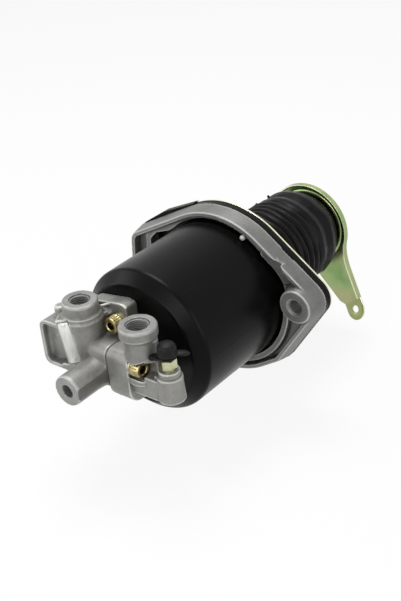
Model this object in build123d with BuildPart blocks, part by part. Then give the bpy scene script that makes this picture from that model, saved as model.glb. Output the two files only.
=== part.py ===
from build123d import *
import os
from math import atan2, cos, degrees, hypot, pi, radians, sin

os.makedirs("parts", exist_ok=True)

# Clutch servo, in millimetres. The main axis is Y. The mounting face is Y = 0 and the
# valve end points to -Y. +Z is up, on the side of the two threaded ports.

# Clamped stack at the flange, from the mounting face towards the front
cover_thick = 1.5
gasket_thick = 3.5
rim_thick = 2.5
flange_depth = 13.0
cover_front = -cover_thick
gasket_front = cover_front - gasket_thick
rim_front = gasket_front - rim_thick
flange_front = rim_front - flange_depth

# Can: a drawn steel cup
can_radius = 59.0
can_wall = 2.5
can_length = 114.5
shoulder_length = 8.5
shoulder_inset = 9.0
shoulder_fillet = 4.0
pilot_radius = 21.0
can_front = -can_length
can_bore = can_radius - can_wall
can_floor = can_front + can_wall

# Flange outline: one round body, two ears whose line is turned, and two rounded corners.
# A spot round the can is (degrees from +X, distance beyond the can's wall).
flange_margin = 12.5
flange_x = 1.5
flange_z = -2.0
ear_offset = 19.0
ear_turn = 6.6
ear_radius = 17.0
shoulder_spot = (164.6, 21.9)
shoulder_radius = 13.5
corner_spot = (-41.7, 8.5)
corner_radius = 9.0
ear_hole_radius = 5.5
ear_chamfer = 1.5
ear_chamfer_slope = 45.0
boss_radius = 13.5
boss_height = 5.0
flange_floor = 5.0
flange_wall = 3.5
flange_inset = 2.4
collar_drop = 2.5
collar_thick = 5.0
collar_gap = 2.0
lobe_wall = 5.0
lobe_spots = (
    (129.3, 1.1), (140.2, 3.5), (150.6, 12.2), (157.9, 15.5), (173.5, 11.5), (174.8, -3.8), (156, -9.8)
)
web_spots = ((35.8, 2.6), (44.4, 5.4), (32.8, 14.8), (16.4, 11.9), (5.2, 7.3), (6.3, -4.7))
lobe_round = 4.0
nub_radius = 2.0
nub_offset = 0.4
nub_angle = 61.4
nub_height = 1.5
rim_corner_low = ((-27.2, 16.4), (-41, 17.2), (-47.7, 16.7), (-51.3, 5))
rim_corner_high = ((157.6, 31.4), (140.5, 19.4), (113.5, 11.3), (135, -2.4))
flange_radius = can_radius + flange_margin
ear_reach = can_radius + ear_offset
ear_x = ear_reach * cos(radians(ear_turn))
ear_z = ear_reach * sin(radians(ear_turn))

# Stiffening plate welded inside the front of the can
plate_margin = 17.0
plate_thick = 5.0
plate_radius = can_radius - plate_margin

# Valve housing casting, left of the joint plane between the two castings
joint_x = 2.0
foot_thick = 11.5
foot_front = can_front - foot_thick
lug_x = -5.0
lug_z = 27.0
lug_radius = 13.0
foot_hub_radius = 22.0
spigot_gap = 0.2
spigot_depth = 2.0
block_length = 27.5
block_top = 18.0
block_bottom = -17.0
block_left = -24.0
block_round = 7.0
block_front = foot_front - block_length
nose_x = -10.0
nose_z = -4.0
nose_radius = 12.0
nose_length = 30.5
nose_hole_radius = 5.0
nose_hole_depth = 22.0
nose_chamfer = 1.0
nose_root_radius = 13.6
nose_root_length = 6.0
nose_front = block_front - nose_length

# Relay valve column and its air port
relay_x = -27.7
port_setback = 16.5
port_y = foot_front - port_setback
relay_radius = 15.0
relay_top = 36.5
relay_bottom = -22.0
ledge_radius = 16.0
ledge_top = 33.0
air_boss_radius = 13.4
air_port_top = 46.0
air_thread_radius = 7.2
air_thread_depth = 14.0
port_chamfer = 1.1

# Cast pocket beside the relay column
pocket_left = -60.0
pocket_top = 28.0
pocket_bottom = -11.0
pocket_reach = 15.0
pocket_length = 22.5
pocket_front = port_y - pocket_reach
pocket_back = pocket_front + pocket_length
pocket_round = 6.0
pocket_rim = 3.5
pocket_depth = 9.0

# Bare nameplate strip on the front facet of the column
nameplate_width = 8.4
nameplate_length = 34.0
nameplate_thick = 1.0
nameplate_round = 1.4
nameplate_turn = 30.0
nameplate_lean = 8.0
nameplate_middle = 16.5
facet_distance = 12.2
facet_shift = -8.9
facet_width = 12.0
facet_margin = 4.0
facet_reach = 12.0
rivet_radius = 1.6
rivet_head = 0.9
rivet_taper = 25.0

# Hydraulic housing casting, right of the joint plane
hydraulic_bottom = -24.0
hydraulic_round = 12.0
hydraulic_port_x = 27.4
hydraulic_port_top = 42.0
cup_radius = 14.2
cup_height = 8.0
cup_taper = 3.0
cup_slope = 44.0
neck_radius = 11.2
hydraulic_thread_radius = 8.2
hydraulic_thread_depth = 14.0
shelf_rear_offset = 12.5
shelf_front_offset = 3.0
shelf_back = port_y + shelf_rear_offset
shelf_front = port_y + shelf_front_offset
arm_top = 6.0
arm_bottom = -13.5
arm_thick = 14.0
arm_offset = 2.0
arm_y = port_y + arm_offset
bleed_x = 50.5
bleed_boss_radius = 8.0
bleed_boss_top = 11.0
arm_end_radius = 9.5

# Socket screws, M8
thread_radius = 4.0
head_radius = 6.5
head_height = 8.0
socket_flats = 6.0
socket_depth = 4.0
washer_radius = 7.2
washer_thick = 1.6
spring_washer_thick = 2.2
screw_clearance = 0.3
side_screw_offset = 5.0
side_screw_y = port_y - side_screw_offset
side_screw_z = 8.0
side_screw_seat = 22.1
scallop_gap = 1.2

# Bleed screw and its dust cap
bleed_thread_radius = 4.9
bleed_hex_flats = 11.0
bleed_hex_height = 8.0
bleed_hex_lift = 1.5
bleed_depth = 18.0
nipple_radius = 3.6
nipple_height = 10.0
bleed_hole_radius = 1.2
cap_gap = 0.3
cap_wall = 1.9
cap_height = 12.0
strap_radius = 6.5
strap_thick = 1.5
strap_gap = 0.2
tab_radius = 2.6
tab_reach = 8.7
tab_angle = 63.0
strap_tab_reach = 10.0
strap_tab_angle = 209.0
tab_height = 2.0

# Rear cover
cover_hole_radius = 15.0
cover_recess_radius = 43.5
cover_recess = 0.8
cover_collar_radius = 34.0
cover_collar_height = 6.0

# Air piston with its rod and seals
piston_rest_gap = 0.3
piston_radius = can_bore - 1.2
piston_web = 8.0
piston_skirt = 26.0
piston_skirt_wall = 5.0
piston_rear = cover_front - cover_recess - piston_rest_gap
web_front = piston_rear - piston_web
skirt_front = piston_rear - piston_skirt
groove_depth = 3.6
seal_width = 6.0
guide_width = 7.0
guide_depth = 2.0
seal_gap = 0.05
seal_seat_gap = 0.1
sleeve_rear = -60.0
sleeve_bore = 14.0
sleeve_wall = 4.0
plunger_length = 62.0
plunger_gap = 0.05
plunger_seal_width = 4.0
plunger_seal_depth = 2.5
plunger_seal_setback = 5.0
plunger_front = web_front - plunger_length
hub_radius = 19.5

# Preload spring
spring_radius = 31.0
spring_wire = 2.2
spring_turns = 7
spring_end_gap = 0.3

# Push rod
ball_radius = 8.0
ball_gap = 0.05
ball_centre = piston_rear - 5.2
rod_radius = 7.0
rod_neck_radius = 5.5
rod_end = 98.0

# Rubber boot
boot_wall = 2.2
boot_front_radius = 36.5
boot_fold_radius = 40.6
boot_valley_radius = 37.6
boot_fold_count = 9
boot_fold_start = 9.0
boot_fold_end = 68.0
boot_wave_radius = 39.8
boot_wave_valley = 36.5
boot_wave_end = 98.0
boot_waist_radius = 31.5
boot_waist_y = 105.0
boot_end_radius = 29.4
boot_bead_inner = 26.4

# End ring with its arm
ring_y = 110.4
ring_radius = 38.2
ring_thick = 1.5
ring_hole_radius = 28.0
ring_lip = 3.6
arm_tip_radius = 9.8
arm_hole_radius = 3.2
arm_bend = -20.0

# Sizes inside the valve housing
sleeve_seat = 9.0
relay_bore = 9.0
relay_bore_depth = 40.0
inlet_radius = 4.0
inlet_bore = 6.8
side_screw_grip = 13.5
pocket_opening = 14.0

drilling_radius = 3.0
thread_gap = 0.05
washer_split = 1.2
plug_thick = 6.0
ring_groove = 3.0
plug_ring_thick = 1.2
plug_ring_width = 2.2
plug_ring_split = 4.0
relay_rest = 4.0
relay_piston_height = 12.0
relay_stem_radius = 3.0
relay_stem_top = 18.5
relay_wire = 0.7
relay_turns = 4
relay_coil_radius = 6.0
inlet_disc_radius = 6.4
inlet_disc_thick = 2.0
inlet_room = 5.0
inlet_guide_radius = 3.2
inlet_guide_length = 4.0

hub_height = 3.5
groove_land = 3.0
clip_setback = 0.8
clip_thick = 1.2
clip_depth = 1.2
clip_gap = 0.1
clip_inner = 7.4
clip_split = 5.0
rod_shoulder = 4.0
boot_gap = 0.1
boot_bead = 1.6
boot_lip = 1.5
bend_left = (34.6, -71.2)
bend_right = (50.2, -59.2)
arm_left = ((-1, -ring_radius), (29, -69), bend_left)
arm_right = (bend_right, (43.5, -42), (38.5, -27), (ring_radius, -8))
tongue_reach = 8.0

# Planes: across the main axis and seen from the front, then the other two directions


def across(y):
    return Plane.XZ.offset(-y)


def sideways(x):
    return Plane.YZ.offset(x)


def level(z):
    return Plane.XY.offset(z)


turn_cos = cos(radians(nameplate_turn))
turn_sin = sin(radians(nameplate_turn))
lean_cos = cos(radians(nameplate_lean))
facet_plane = Plane(
    origin=(
        relay_x + facet_distance * turn_sin + facet_shift * turn_cos,
        port_y - facet_distance * turn_cos + facet_shift * turn_sin,
        nameplate_middle,
    ),
    x_dir=(turn_cos * lean_cos, turn_sin * lean_cos, sin(radians(nameplate_lean))),
    z_dir=(turn_sin, -turn_cos, 0),
)


def around_can(*spots):
    return [
        ((can_radius + gap) * cos(radians(angle)), (can_radius + gap) * sin(radians(angle)))
        for angle, gap in spots
    ]


def flange_outline(shrink=0.0):
    with Locations((flange_x, flange_z)):
        Circle(flange_radius - shrink)
    with Locations((ear_x, ear_z), (-ear_x, -ear_z)):
        Circle(ear_radius - shrink)
    with Locations(*around_can(shoulder_spot)):
        Circle(shoulder_radius - shrink)
    with Locations(*around_can(corner_spot)):
        Circle(corner_radius - shrink)
    make_hull()


def rim_outline():
    flange_outline()
    Polygon(*around_can(*rim_corner_low), align=None)
    Polygon(*around_can(*rim_corner_high), align=None)


def ear_spots():
    return Locations((ear_x, ear_z), (-ear_x, -ear_z))


def lug_spots():
    return Locations((lug_x, lug_z), (lug_x, -lug_z))


def hexagon(flats):
    RegularPolygon(flats / 2, 6, major_radius=False)


def finish(part, name):
    part.part.label = name
    export_step(part.part, f"parts/{name}.step")


# Can, with its flared rim
with BuildPart() as cylinder:
    with BuildSketch(Plane.XY):
        with BuildLine():
            FilletPolyline(
                (can_radius, gasket_front),
                (can_radius, can_front + shoulder_length),
                (can_radius - shoulder_inset, can_front),
                (pilot_radius, can_front),
                radius=shoulder_fillet,
            )
            Line((pilot_radius, can_front), (pilot_radius, can_floor))
            FilletPolyline(
                (pilot_radius, can_floor),
                (can_radius - shoulder_inset - can_wall / 2, can_floor),
                (can_bore, can_front + shoulder_length + can_wall / 2),
                (can_bore, gasket_front),
                radius=shoulder_fillet - can_wall / 2,
            )
            Line((can_bore, gasket_front), (can_radius, gasket_front))
        make_face()
    revolve(axis=Axis.Y)
    with BuildSketch(across(gasket_front)):
        rim_outline()
        Circle(can_bore, mode=Mode.SUBTRACT)
        with ear_spots():
            Circle(ear_hole_radius, mode=Mode.SUBTRACT)
    extrude(amount=rim_thick)
    with BuildSketch(across(can_floor)):
        with lug_spots():
            Circle(thread_radius + screw_clearance)
    extrude(amount=can_wall, mode=Mode.SUBTRACT)
finish(cylinder, "cylinder")

# Clamp flange: drafted wall, collar round the can, pockets between them, two bolt bosses
flange_opening = can_radius + collar_gap
collar_radius = flange_opening + collar_thick
flange_height = flange_depth + boss_height
flange_draft = degrees(atan2(flange_inset, flange_depth))
nub_reach = flange_opening + nub_offset
nub_x = nub_reach * cos(radians(nub_angle))
nub_z = nub_reach * sin(radians(nub_angle))
lobe_points = around_can(*lobe_spots)
boss_taper = degrees(atan2(ear_radius - boss_radius, flange_height))
with BuildPart() as flange_ring:
    with BuildSketch(across(rim_front)):
        flange_outline()
    extrude(amount=flange_depth, taper=flange_draft)
    with BuildSketch(across(flange_front)):
        flange_outline(flange_inset + flange_wall)
        Circle(collar_radius, mode=Mode.SUBTRACT)
        Polygon(*around_can(*web_spots), align=None)
        offset(
            Polygon(*lobe_points, align=None, mode=Mode.PRIVATE),
            amount=lobe_wall,
            mode=Mode.SUBTRACT,
        )
    extrude(amount=flange_floor - flange_depth, mode=Mode.SUBTRACT)
    with BuildSketch(across(flange_front)):
        flange_outline(flange_inset + flange_wall)
    extrude(amount=-collar_drop, mode=Mode.SUBTRACT)
    with BuildSketch(across(rim_front)):
        with ear_spots():
            Circle(ear_radius)
    extrude(amount=flange_height, taper=boss_taper)
    with BuildSketch(across(rim_front)) as opening:
        Circle(flange_opening)
        Polygon(*lobe_points, align=None)
        fillet(opening.vertices().sort_by(Axis.X)[:2], lobe_round)
    extrude(amount=flange_height, mode=Mode.SUBTRACT)
    with BuildSketch(across(rim_front)):
        with ear_spots():
            Circle(ear_hole_radius)
    extrude(amount=flange_height, mode=Mode.SUBTRACT)
    with BuildSketch(across(rim_front - flange_height)):
        with ear_spots():
            Circle(ear_hole_radius + ear_chamfer)
    extrude(amount=-ear_chamfer, taper=ear_chamfer_slope, mode=Mode.SUBTRACT)
    # small cast nub on the collar
    with BuildSketch(across(flange_front + flange_floor)):
        with Locations((nub_x, nub_z)):
            Circle(nub_radius)
    extrude(amount=flange_floor + nub_height)
finish(flange_ring, "flange_ring")

# Gasket between the rim and the rear cover
with BuildPart() as rim_gasket:
    with BuildSketch(across(cover_front)):
        rim_outline()
        Circle(can_bore, mode=Mode.SUBTRACT)
        with ear_spots():
            Circle(ear_hole_radius, mode=Mode.SUBTRACT)
    extrude(amount=gasket_thick)
finish(rim_gasket, "rim_gasket")

# Rear cover: flat plate with a drawn collar that carries the boot
collar_inner = cover_collar_radius - cover_thick
with BuildPart() as rear_cover:
    with BuildSketch(across(0)):
        rim_outline()
        with ear_spots():
            Circle(ear_hole_radius, mode=Mode.SUBTRACT)
    extrude(amount=cover_thick)
    # middle pressed in, so that the boot stands clear of the mounting face
    with BuildSketch(across(0)):
        Circle(cover_recess_radius + cover_thick)
    extrude(amount=cover_thick + cover_recess)
    with BuildSketch(across(0)):
        Circle(cover_recess_radius)
    extrude(amount=cover_recess, mode=Mode.SUBTRACT)
    with BuildSketch(across(-cover_recess)):
        Circle(cover_collar_radius)
        Circle(collar_inner, mode=Mode.SUBTRACT)
    extrude(amount=-cover_collar_height)
    with BuildSketch(across(0)):
        Circle(cover_hole_radius)
    extrude(amount=cover_thick + cover_recess, mode=Mode.SUBTRACT)
finish(rear_cover, "rear_cover")

# Stiffening plate behind the can's front, tapped for the two housing screws
plate_rear = can_floor + plate_thick
sleeve_radius = sleeve_bore + sleeve_wall
with BuildPart() as stiffener_plate:
    with BuildSketch(across(plate_rear)):
        Circle(plate_radius)
        Circle(pilot_radius, mode=Mode.SUBTRACT)
        with lug_spots():
            Circle(thread_radius, mode=Mode.SUBTRACT)
    extrude(amount=plate_thick)
finish(stiffener_plate, "stiffener_plate")

# Valve housing: foot on the can, block, nose, relay column, air port and cast pocket
spigot_radius = pilot_radius - spigot_gap
block_width = joint_x - block_left
with BuildPart() as valve_housing:
    with BuildSketch(across(can_front)):
        Circle(foot_hub_radius)
        with lug_spots():
            Circle(lug_radius)
        with Locations((relay_x, relay_top - lug_radius), (relay_x, relay_bottom + lug_radius)):
            Circle(lug_radius)
        make_hull()
    extrude(amount=foot_thick)
    with BuildSketch(across(can_front)):
        Circle(spigot_radius)
    extrude(amount=-spigot_depth)
    # block, with the outline that both castings share at the joint plane
    with BuildSketch(sideways(block_left)) as block:
        with Locations(((foot_front + block_front) / 2, (block_top + block_bottom) / 2)):
            Rectangle(block_length, block_top - block_bottom)
        fillet(block.vertices().group_by(Axis.X)[0], block_round)
    extrude(amount=block_width)
    # nose with its root cone
    nose_start = block_front + block_round
    root_taper = degrees(atan2(nose_root_radius - nose_radius, nose_root_length + block_round))
    with BuildSketch(across(nose_start)):
        with Locations((nose_x, nose_z)):
            Circle(nose_root_radius)
    extrude(amount=nose_root_length + block_round, taper=root_taper)
    with BuildSketch(across(nose_start)):
        with Locations((nose_x, nose_z)):
            Circle(nose_radius)
    extrude(amount=nose_length + block_round)
    split(bisect_by=sideways(joint_x), keep=Keep.BOTTOM)
    # relay column with its ledge, air boss and the web to the foot
    with BuildSketch(level(relay_bottom)):
        with Locations((relay_x, port_y)):
            Circle(relay_radius)
    extrude(amount=relay_top - relay_bottom)
    with BuildSketch(level(relay_bottom)):
        with Locations((relay_x, port_y)):
            Circle(ledge_radius)
        with Locations((relay_x, (port_y + can_front) / 2)):
            Rectangle(2 * lug_radius, can_front - port_y)
    extrude(amount=ledge_top - relay_bottom)
    with BuildSketch(level(relay_bottom)):
        with Locations((relay_x, port_y)):
            Circle(air_boss_radius)
    extrude(amount=air_port_top - relay_bottom)
    # cast pocket beside the column
    pocket_width = relay_x - pocket_left
    with BuildSketch(across(pocket_back)) as pocket_block:
        with Locations((pocket_left + pocket_width / 2, (pocket_top + pocket_bottom) / 2)):
            Rectangle(pocket_width, pocket_top - pocket_bottom)
        fillet(pocket_block.vertices().group_by(Axis.X)[0], pocket_round)
    extrude(amount=pocket_back - pocket_front)
    with BuildSketch(across(pocket_front)) as pocket_hollow:
        with Locations((pocket_left + pocket_rim, (pocket_top + pocket_bottom) / 2)):
            Rectangle(
                pocket_opening,
                pocket_top - pocket_bottom - 2 * pocket_rim,
                align=(Align.MIN, Align.CENTER),
            )
        fillet(pocket_hollow.vertices().group_by(Axis.X)[0], pocket_round - pocket_rim / 2)
    extrude(amount=-pocket_depth, mode=Mode.SUBTRACT)
    # facet that carries the nameplate
    with BuildSketch(facet_plane):
        Rectangle(facet_width, nameplate_length + facet_margin)
    extrude(amount=-facet_reach)
    with BuildSketch(facet_plane):
        Rectangle(nameplate_width + 1, nameplate_length + facet_margin)
    extrude(amount=facet_margin, mode=Mode.SUBTRACT)
    # hydraulic bore, air passage, nose hole and threaded port
    with BuildSketch(across(can_front + spigot_depth)):
        Circle(sleeve_radius + thread_gap)
    extrude(amount=spigot_depth + sleeve_seat, mode=Mode.SUBTRACT)
    with BuildSketch(across(nose_front)):
        with Locations((nose_x, nose_z)):
            Circle(nose_hole_radius)
    extrude(amount=-nose_hole_depth, mode=Mode.SUBTRACT)
    with BuildSketch(level(air_port_top)):
        with Locations((relay_x, port_y)):
            Circle(air_thread_radius)
    extrude(amount=-air_thread_depth, mode=Mode.SUBTRACT)
    with BuildSketch(level(air_port_top - air_thread_depth)):
        with Locations((relay_x, port_y)):
            Circle(inlet_bore)
    extrude(amount=-inlet_room, mode=Mode.SUBTRACT)
    with BuildSketch(level(relay_bottom)):
        with Locations((relay_x, port_y)):
            Circle(relay_bore)
    extrude(amount=relay_bore_depth, mode=Mode.SUBTRACT)
    with BuildSketch(level(relay_bottom)):
        with Locations((relay_x, port_y)):
            Circle(inlet_radius)
    extrude(amount=air_port_top - relay_bottom, mode=Mode.SUBTRACT)
    # screw holes
    with BuildSketch(across(can_front)):
        with lug_spots():
            Circle(thread_radius + screw_clearance)
    extrude(amount=foot_thick, mode=Mode.SUBTRACT)
    with BuildSketch(sideways(joint_x)):
        with Locations((side_screw_y, side_screw_z)):
            Circle(thread_radius)
    extrude(amount=-side_screw_grip, mode=Mode.SUBTRACT)
    chamfer(valve_housing.edges().group_by(Axis.Z)[-1], port_chamfer)
    chamfer(valve_housing.edges().group_by(Axis.Y)[0], nose_chamfer)
finish(valve_housing, "valve_housing")

# Hydraulic housing: block, cup-shaped port on its neck, shelf, arm and bleed boss
arm_middle = (arm_top + arm_bottom) / 2
with BuildPart() as hydraulic_housing:
    with BuildSketch(sideways(joint_x)) as hydraulic_block:
        with Locations(((foot_front + block_front) / 2, block_top)):
            Rectangle(block_length, block_top - hydraulic_bottom, align=(Align.CENTER, Align.MAX))
        fillet(hydraulic_block.vertices().group_by(Axis.Y)[0], hydraulic_round)
        fillet(hydraulic_block.vertices().group_by(Axis.Y)[-1].sort_by(Axis.X)[0], block_round)
    extrude(amount=side_screw_seat - joint_x)
    with BuildSketch(level(arm_bottom)):
        with Locations((side_screw_seat - block_round, shelf_front)):
            Rectangle(
                hydraulic_port_x + neck_radius - side_screw_seat + block_round,
                shelf_back - shelf_front,
                align=(Align.MIN, Align.MIN),
            )
    extrude(amount=block_top - arm_bottom)
    # arm with its rounded end and the bleed boss
    with BuildSketch(level(arm_bottom)):
        with Locations((side_screw_seat - block_round, arm_y)):
            Rectangle(
                bleed_x - side_screw_seat + block_round,
                arm_thick,
                align=(Align.MIN, Align.CENTER),
            )
        with Locations((bleed_x, arm_y)):
            Circle(arm_end_radius)
    extrude(amount=arm_top - arm_bottom)
    with BuildSketch(level(arm_top)):
        with Locations((bleed_x, arm_y)):
            Circle(bleed_boss_radius)
    extrude(amount=bleed_boss_top - arm_top)
    # neck and cup of the port
    with BuildSketch(level(arm_middle)):
        with Locations((hydraulic_port_x, port_y)):
            Circle(neck_radius)
    extrude(amount=hydraulic_port_top - arm_middle)
    cup_bottom = hydraulic_port_top - cup_height
    with BuildSketch(level(cup_bottom)):
        with Locations((hydraulic_port_x, port_y)):
            Circle(cup_radius)
    extrude(amount=cup_height)
    with BuildSketch(level(cup_bottom)):
        with Locations((hydraulic_port_x, port_y)):
            Circle(cup_radius)
    extrude(amount=-cup_taper, taper=cup_slope)
    # room for the side screw's head
    with BuildSketch(sideways(side_screw_seat)):
        with Locations((side_screw_y, side_screw_z)):
            Circle(washer_radius + scallop_gap)
    extrude(amount=hydraulic_port_x + cup_radius - side_screw_seat, mode=Mode.SUBTRACT)
    with BuildSketch(sideways(joint_x)):
        with Locations((side_screw_y, side_screw_z)):
            Circle(thread_radius + screw_clearance)
    extrude(amount=side_screw_seat - joint_x, mode=Mode.SUBTRACT)
    # port thread, its drilling, and the bleed screw's thread
    with BuildSketch(level(hydraulic_port_top)):
        with Locations((hydraulic_port_x, port_y)):
            Circle(hydraulic_thread_radius)
    extrude(amount=-hydraulic_thread_depth, mode=Mode.SUBTRACT)
    with BuildSketch(level(hydraulic_port_top)):
        with Locations((hydraulic_port_x, port_y)):
            Circle(drilling_radius)
    extrude(amount=arm_middle - hydraulic_port_top, mode=Mode.SUBTRACT)
    with BuildSketch(level(bleed_boss_top)):
        with Locations((bleed_x, arm_y)):
            Circle(bleed_thread_radius + thread_gap)
    extrude(amount=-bleed_depth, mode=Mode.SUBTRACT)
    chamfer(hydraulic_housing.edges().group_by(Axis.Z)[-1], port_chamfer)
finish(hydraulic_housing, "hydraulic_housing")

# Bare nameplate and its two rivets
with BuildPart() as nameplate:
    with BuildSketch(facet_plane) as strip:
        Rectangle(nameplate_width, nameplate_length)
        fillet(strip.vertices(), nameplate_round)
    extrude(amount=nameplate_thick)
finish(nameplate, "nameplate")

with BuildPart() as nameplate_rivets:
    with BuildSketch(facet_plane.offset(nameplate_thick)):
        with GridLocations(0, nameplate_length - nameplate_width / 2, 1, 2):
            Circle(rivet_radius)
    extrude(amount=rivet_head, taper=rivet_taper)
finish(nameplate_rivets, "nameplate_rivets")


def socket_screw(seat, length):
    with BuildPart() as screw:
        with BuildSketch(seat):
            Circle(thread_radius - thread_gap)
        extrude(amount=-length)
        with BuildSketch(seat):
            Circle(head_radius)
        extrude(amount=head_height)
        with BuildSketch(seat.offset(head_height)):
            hexagon(socket_flats)
        extrude(amount=-socket_depth, mode=Mode.SUBTRACT)
    return screw.part


# Socket screws with their flat and spring washers
washer_stack = washer_thick + spring_washer_thick
foot_seats = [across(foot_front).shift_origin((lug_x, foot_front, z)) for z in (lug_z, -lug_z)]
side_seat = sideways(side_screw_seat).shift_origin((side_screw_seat, side_screw_y, side_screw_z))
foot_grip = foot_thick + can_wall + plate_thick
side_grip = side_screw_seat - joint_x + side_screw_grip - screw_clearance
spring_seats = [seat.offset(washer_thick) for seat in foot_seats] + [side_seat]
foot_screws = [socket_screw(seat.offset(washer_stack), washer_stack + foot_grip) for seat in foot_seats]
side_screw = socket_screw(side_seat.offset(spring_washer_thick), spring_washer_thick + side_grip)
with BuildPart() as housing_screws:
    add(foot_screws)
finish(housing_screws, "housing_screws")

with BuildPart() as hydraulic_screw:
    add(side_screw)
finish(hydraulic_screw, "hydraulic_screw")

with BuildPart() as flat_washers:
    for seat in foot_seats:
        with BuildSketch(seat):
            Circle(washer_radius)
            Circle(thread_radius + screw_clearance, mode=Mode.SUBTRACT)
        extrude(amount=washer_thick)
finish(flat_washers, "flat_washers")

with BuildPart() as spring_washers:
    for seat in spring_seats:
        with BuildSketch(seat):
            Circle(head_radius)
            Circle(thread_radius + screw_clearance, mode=Mode.SUBTRACT)
            with Locations((head_radius, 0)):
                Rectangle(2 * head_radius - thread_radius, washer_split, mode=Mode.SUBTRACT)
        extrude(amount=spring_washer_thick)
finish(spring_washers, "spring_washers")

# Bleed screw: thread, neck, hexagon and nipple with its drilling
hex_bottom = bleed_boss_top + bleed_hex_lift
hex_top = hex_bottom + bleed_hex_height
nipple_top = hex_top + nipple_height
bleed_bottom = bleed_boss_top - bleed_depth
with BuildPart() as bleed_screw:
    with BuildSketch(level(bleed_bottom + thread_gap)):
        with Locations((bleed_x, arm_y)):
            Circle(bleed_thread_radius)
    extrude(amount=hex_bottom - bleed_bottom - thread_gap)
    with BuildSketch(level(hex_bottom)):
        with Locations((bleed_x, arm_y)):
            hexagon(bleed_hex_flats)
    extrude(amount=bleed_hex_height)
    with BuildSketch(level(hex_top)):
        with Locations((bleed_x, arm_y)):
            Circle(nipple_radius)
    extrude(amount=nipple_height)
    with BuildSketch(level(nipple_top)):
        with Locations((bleed_x, arm_y)):
            Circle(bleed_hole_radius)
    extrude(amount=-nipple_height - bleed_hex_height, mode=Mode.SUBTRACT)
finish(bleed_screw, "bleed_screw")

# Rubber dust cap on the nipple, and the strap that keeps it, each with a pull tab
cap_radius = nipple_radius + cap_gap + cap_wall
strap_bottom = hex_top + strap_gap
cap_bottom = strap_bottom + strap_thick + strap_gap


def tab_outline(body_radius, reach, angle):
    with Locations((bleed_x, arm_y)):
        Circle(body_radius)
    with Locations((bleed_x + reach * cos(radians(angle)), arm_y + reach * sin(radians(angle)))):
        Circle(tab_radius)
    make_hull()
    with Locations((bleed_x, arm_y)):
        Circle(nipple_radius + cap_gap, mode=Mode.SUBTRACT)


with BuildPart() as dust_cap:
    with BuildSketch(level(cap_bottom)):
        with Locations((bleed_x, arm_y)):
            Circle(cap_radius)
    extrude(amount=cap_height)
    fillet(dust_cap.edges().group_by(Axis.Z)[-1], cap_wall)
    with BuildSketch(level(cap_bottom)):
        tab_outline(cap_radius, tab_reach, tab_angle)
    extrude(amount=tab_height)
    with BuildSketch(level(cap_bottom)):
        with Locations((bleed_x, arm_y)):
            Circle(nipple_radius + cap_gap)
    extrude(amount=nipple_height, mode=Mode.SUBTRACT)
finish(dust_cap, "dust_cap")

with BuildPart() as cap_strap:
    with BuildSketch(level(strap_bottom)):
        tab_outline(strap_radius, strap_tab_reach, strap_tab_angle)
    extrude(amount=strap_thick)
finish(cap_strap, "cap_strap")

# Relay valve: piston with stem, return spring, plug and snap ring below
relay_middle = relay_bottom + plug_thick + ring_groove + relay_rest
with BuildPart() as relay_piston:
    with BuildSketch(level(relay_middle)):
        with Locations((relay_x, port_y)):
            Circle(relay_bore - thread_gap)
    extrude(amount=relay_piston_height)
    with BuildSketch(level(relay_middle)):
        with Locations((relay_x, port_y)):
            Circle(relay_stem_radius)
    extrude(amount=relay_stem_top - relay_middle)
finish(relay_piston, "relay_piston")

relay_spring_bottom = relay_middle + relay_piston_height
relay_spring_top = relay_bottom + relay_bore_depth
relay_spring_length = relay_spring_top - relay_spring_bottom - 2 * (relay_wire + spring_end_gap)
with BuildPart() as relay_spring:
    with BuildLine() as relay_coil:
        Helix(
            pitch=relay_spring_length / relay_turns,
            height=relay_spring_length,
            radius=relay_coil_radius,
            center=(relay_x, port_y, relay_spring_bottom + relay_wire + spring_end_gap),
        )
    with BuildSketch(Plane(relay_coil.line @ 0, z_dir=relay_coil.line % 0)):
        Circle(relay_wire)
    sweep()
finish(relay_spring, "relay_spring")

with BuildPart() as relay_plug:
    with BuildSketch(level(relay_bottom + ring_groove)):
        with Locations((relay_x, port_y)):
            Circle(relay_bore - thread_gap)
    extrude(amount=plug_thick)
finish(relay_plug, "relay_plug")

with BuildPart() as plug_ring:
    with BuildSketch(level(relay_bottom + ring_groove - plug_ring_thick)):
        with Locations((relay_x, port_y)):
            Circle(relay_bore - thread_gap)
            Circle(relay_bore - plug_ring_width, mode=Mode.SUBTRACT)
            with Locations((0, -relay_bore)):
                Rectangle(plug_ring_split, relay_bore, mode=Mode.SUBTRACT)
    extrude(amount=plug_ring_thick)
finish(plug_ring, "plug_ring")

# Inlet valve disc on its seat at the bottom of the air port
inlet_seat = air_port_top - air_thread_depth - inlet_room
with BuildPart() as inlet_valve:
    with BuildSketch(level(inlet_seat)):
        with Locations((relay_x, port_y)):
            Circle(inlet_disc_radius)
    extrude(amount=inlet_disc_thick)
    with BuildSketch(level(inlet_seat)):
        with Locations((relay_x, port_y)):
            Circle(inlet_guide_radius)
    extrude(amount=-inlet_guide_length)
finish(inlet_valve, "inlet_valve")

# Hydraulic sleeve in the valve housing, closed by the casting at its front end
sleeve_front = can_front - sleeve_seat
with BuildPart() as hydraulic_sleeve:
    with BuildSketch(across(sleeve_rear)):
        Circle(sleeve_radius)
        Circle(sleeve_bore, mode=Mode.SUBTRACT)
    extrude(amount=sleeve_rear - sleeve_front)
finish(hydraulic_sleeve, "hydraulic_sleeve")

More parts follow.
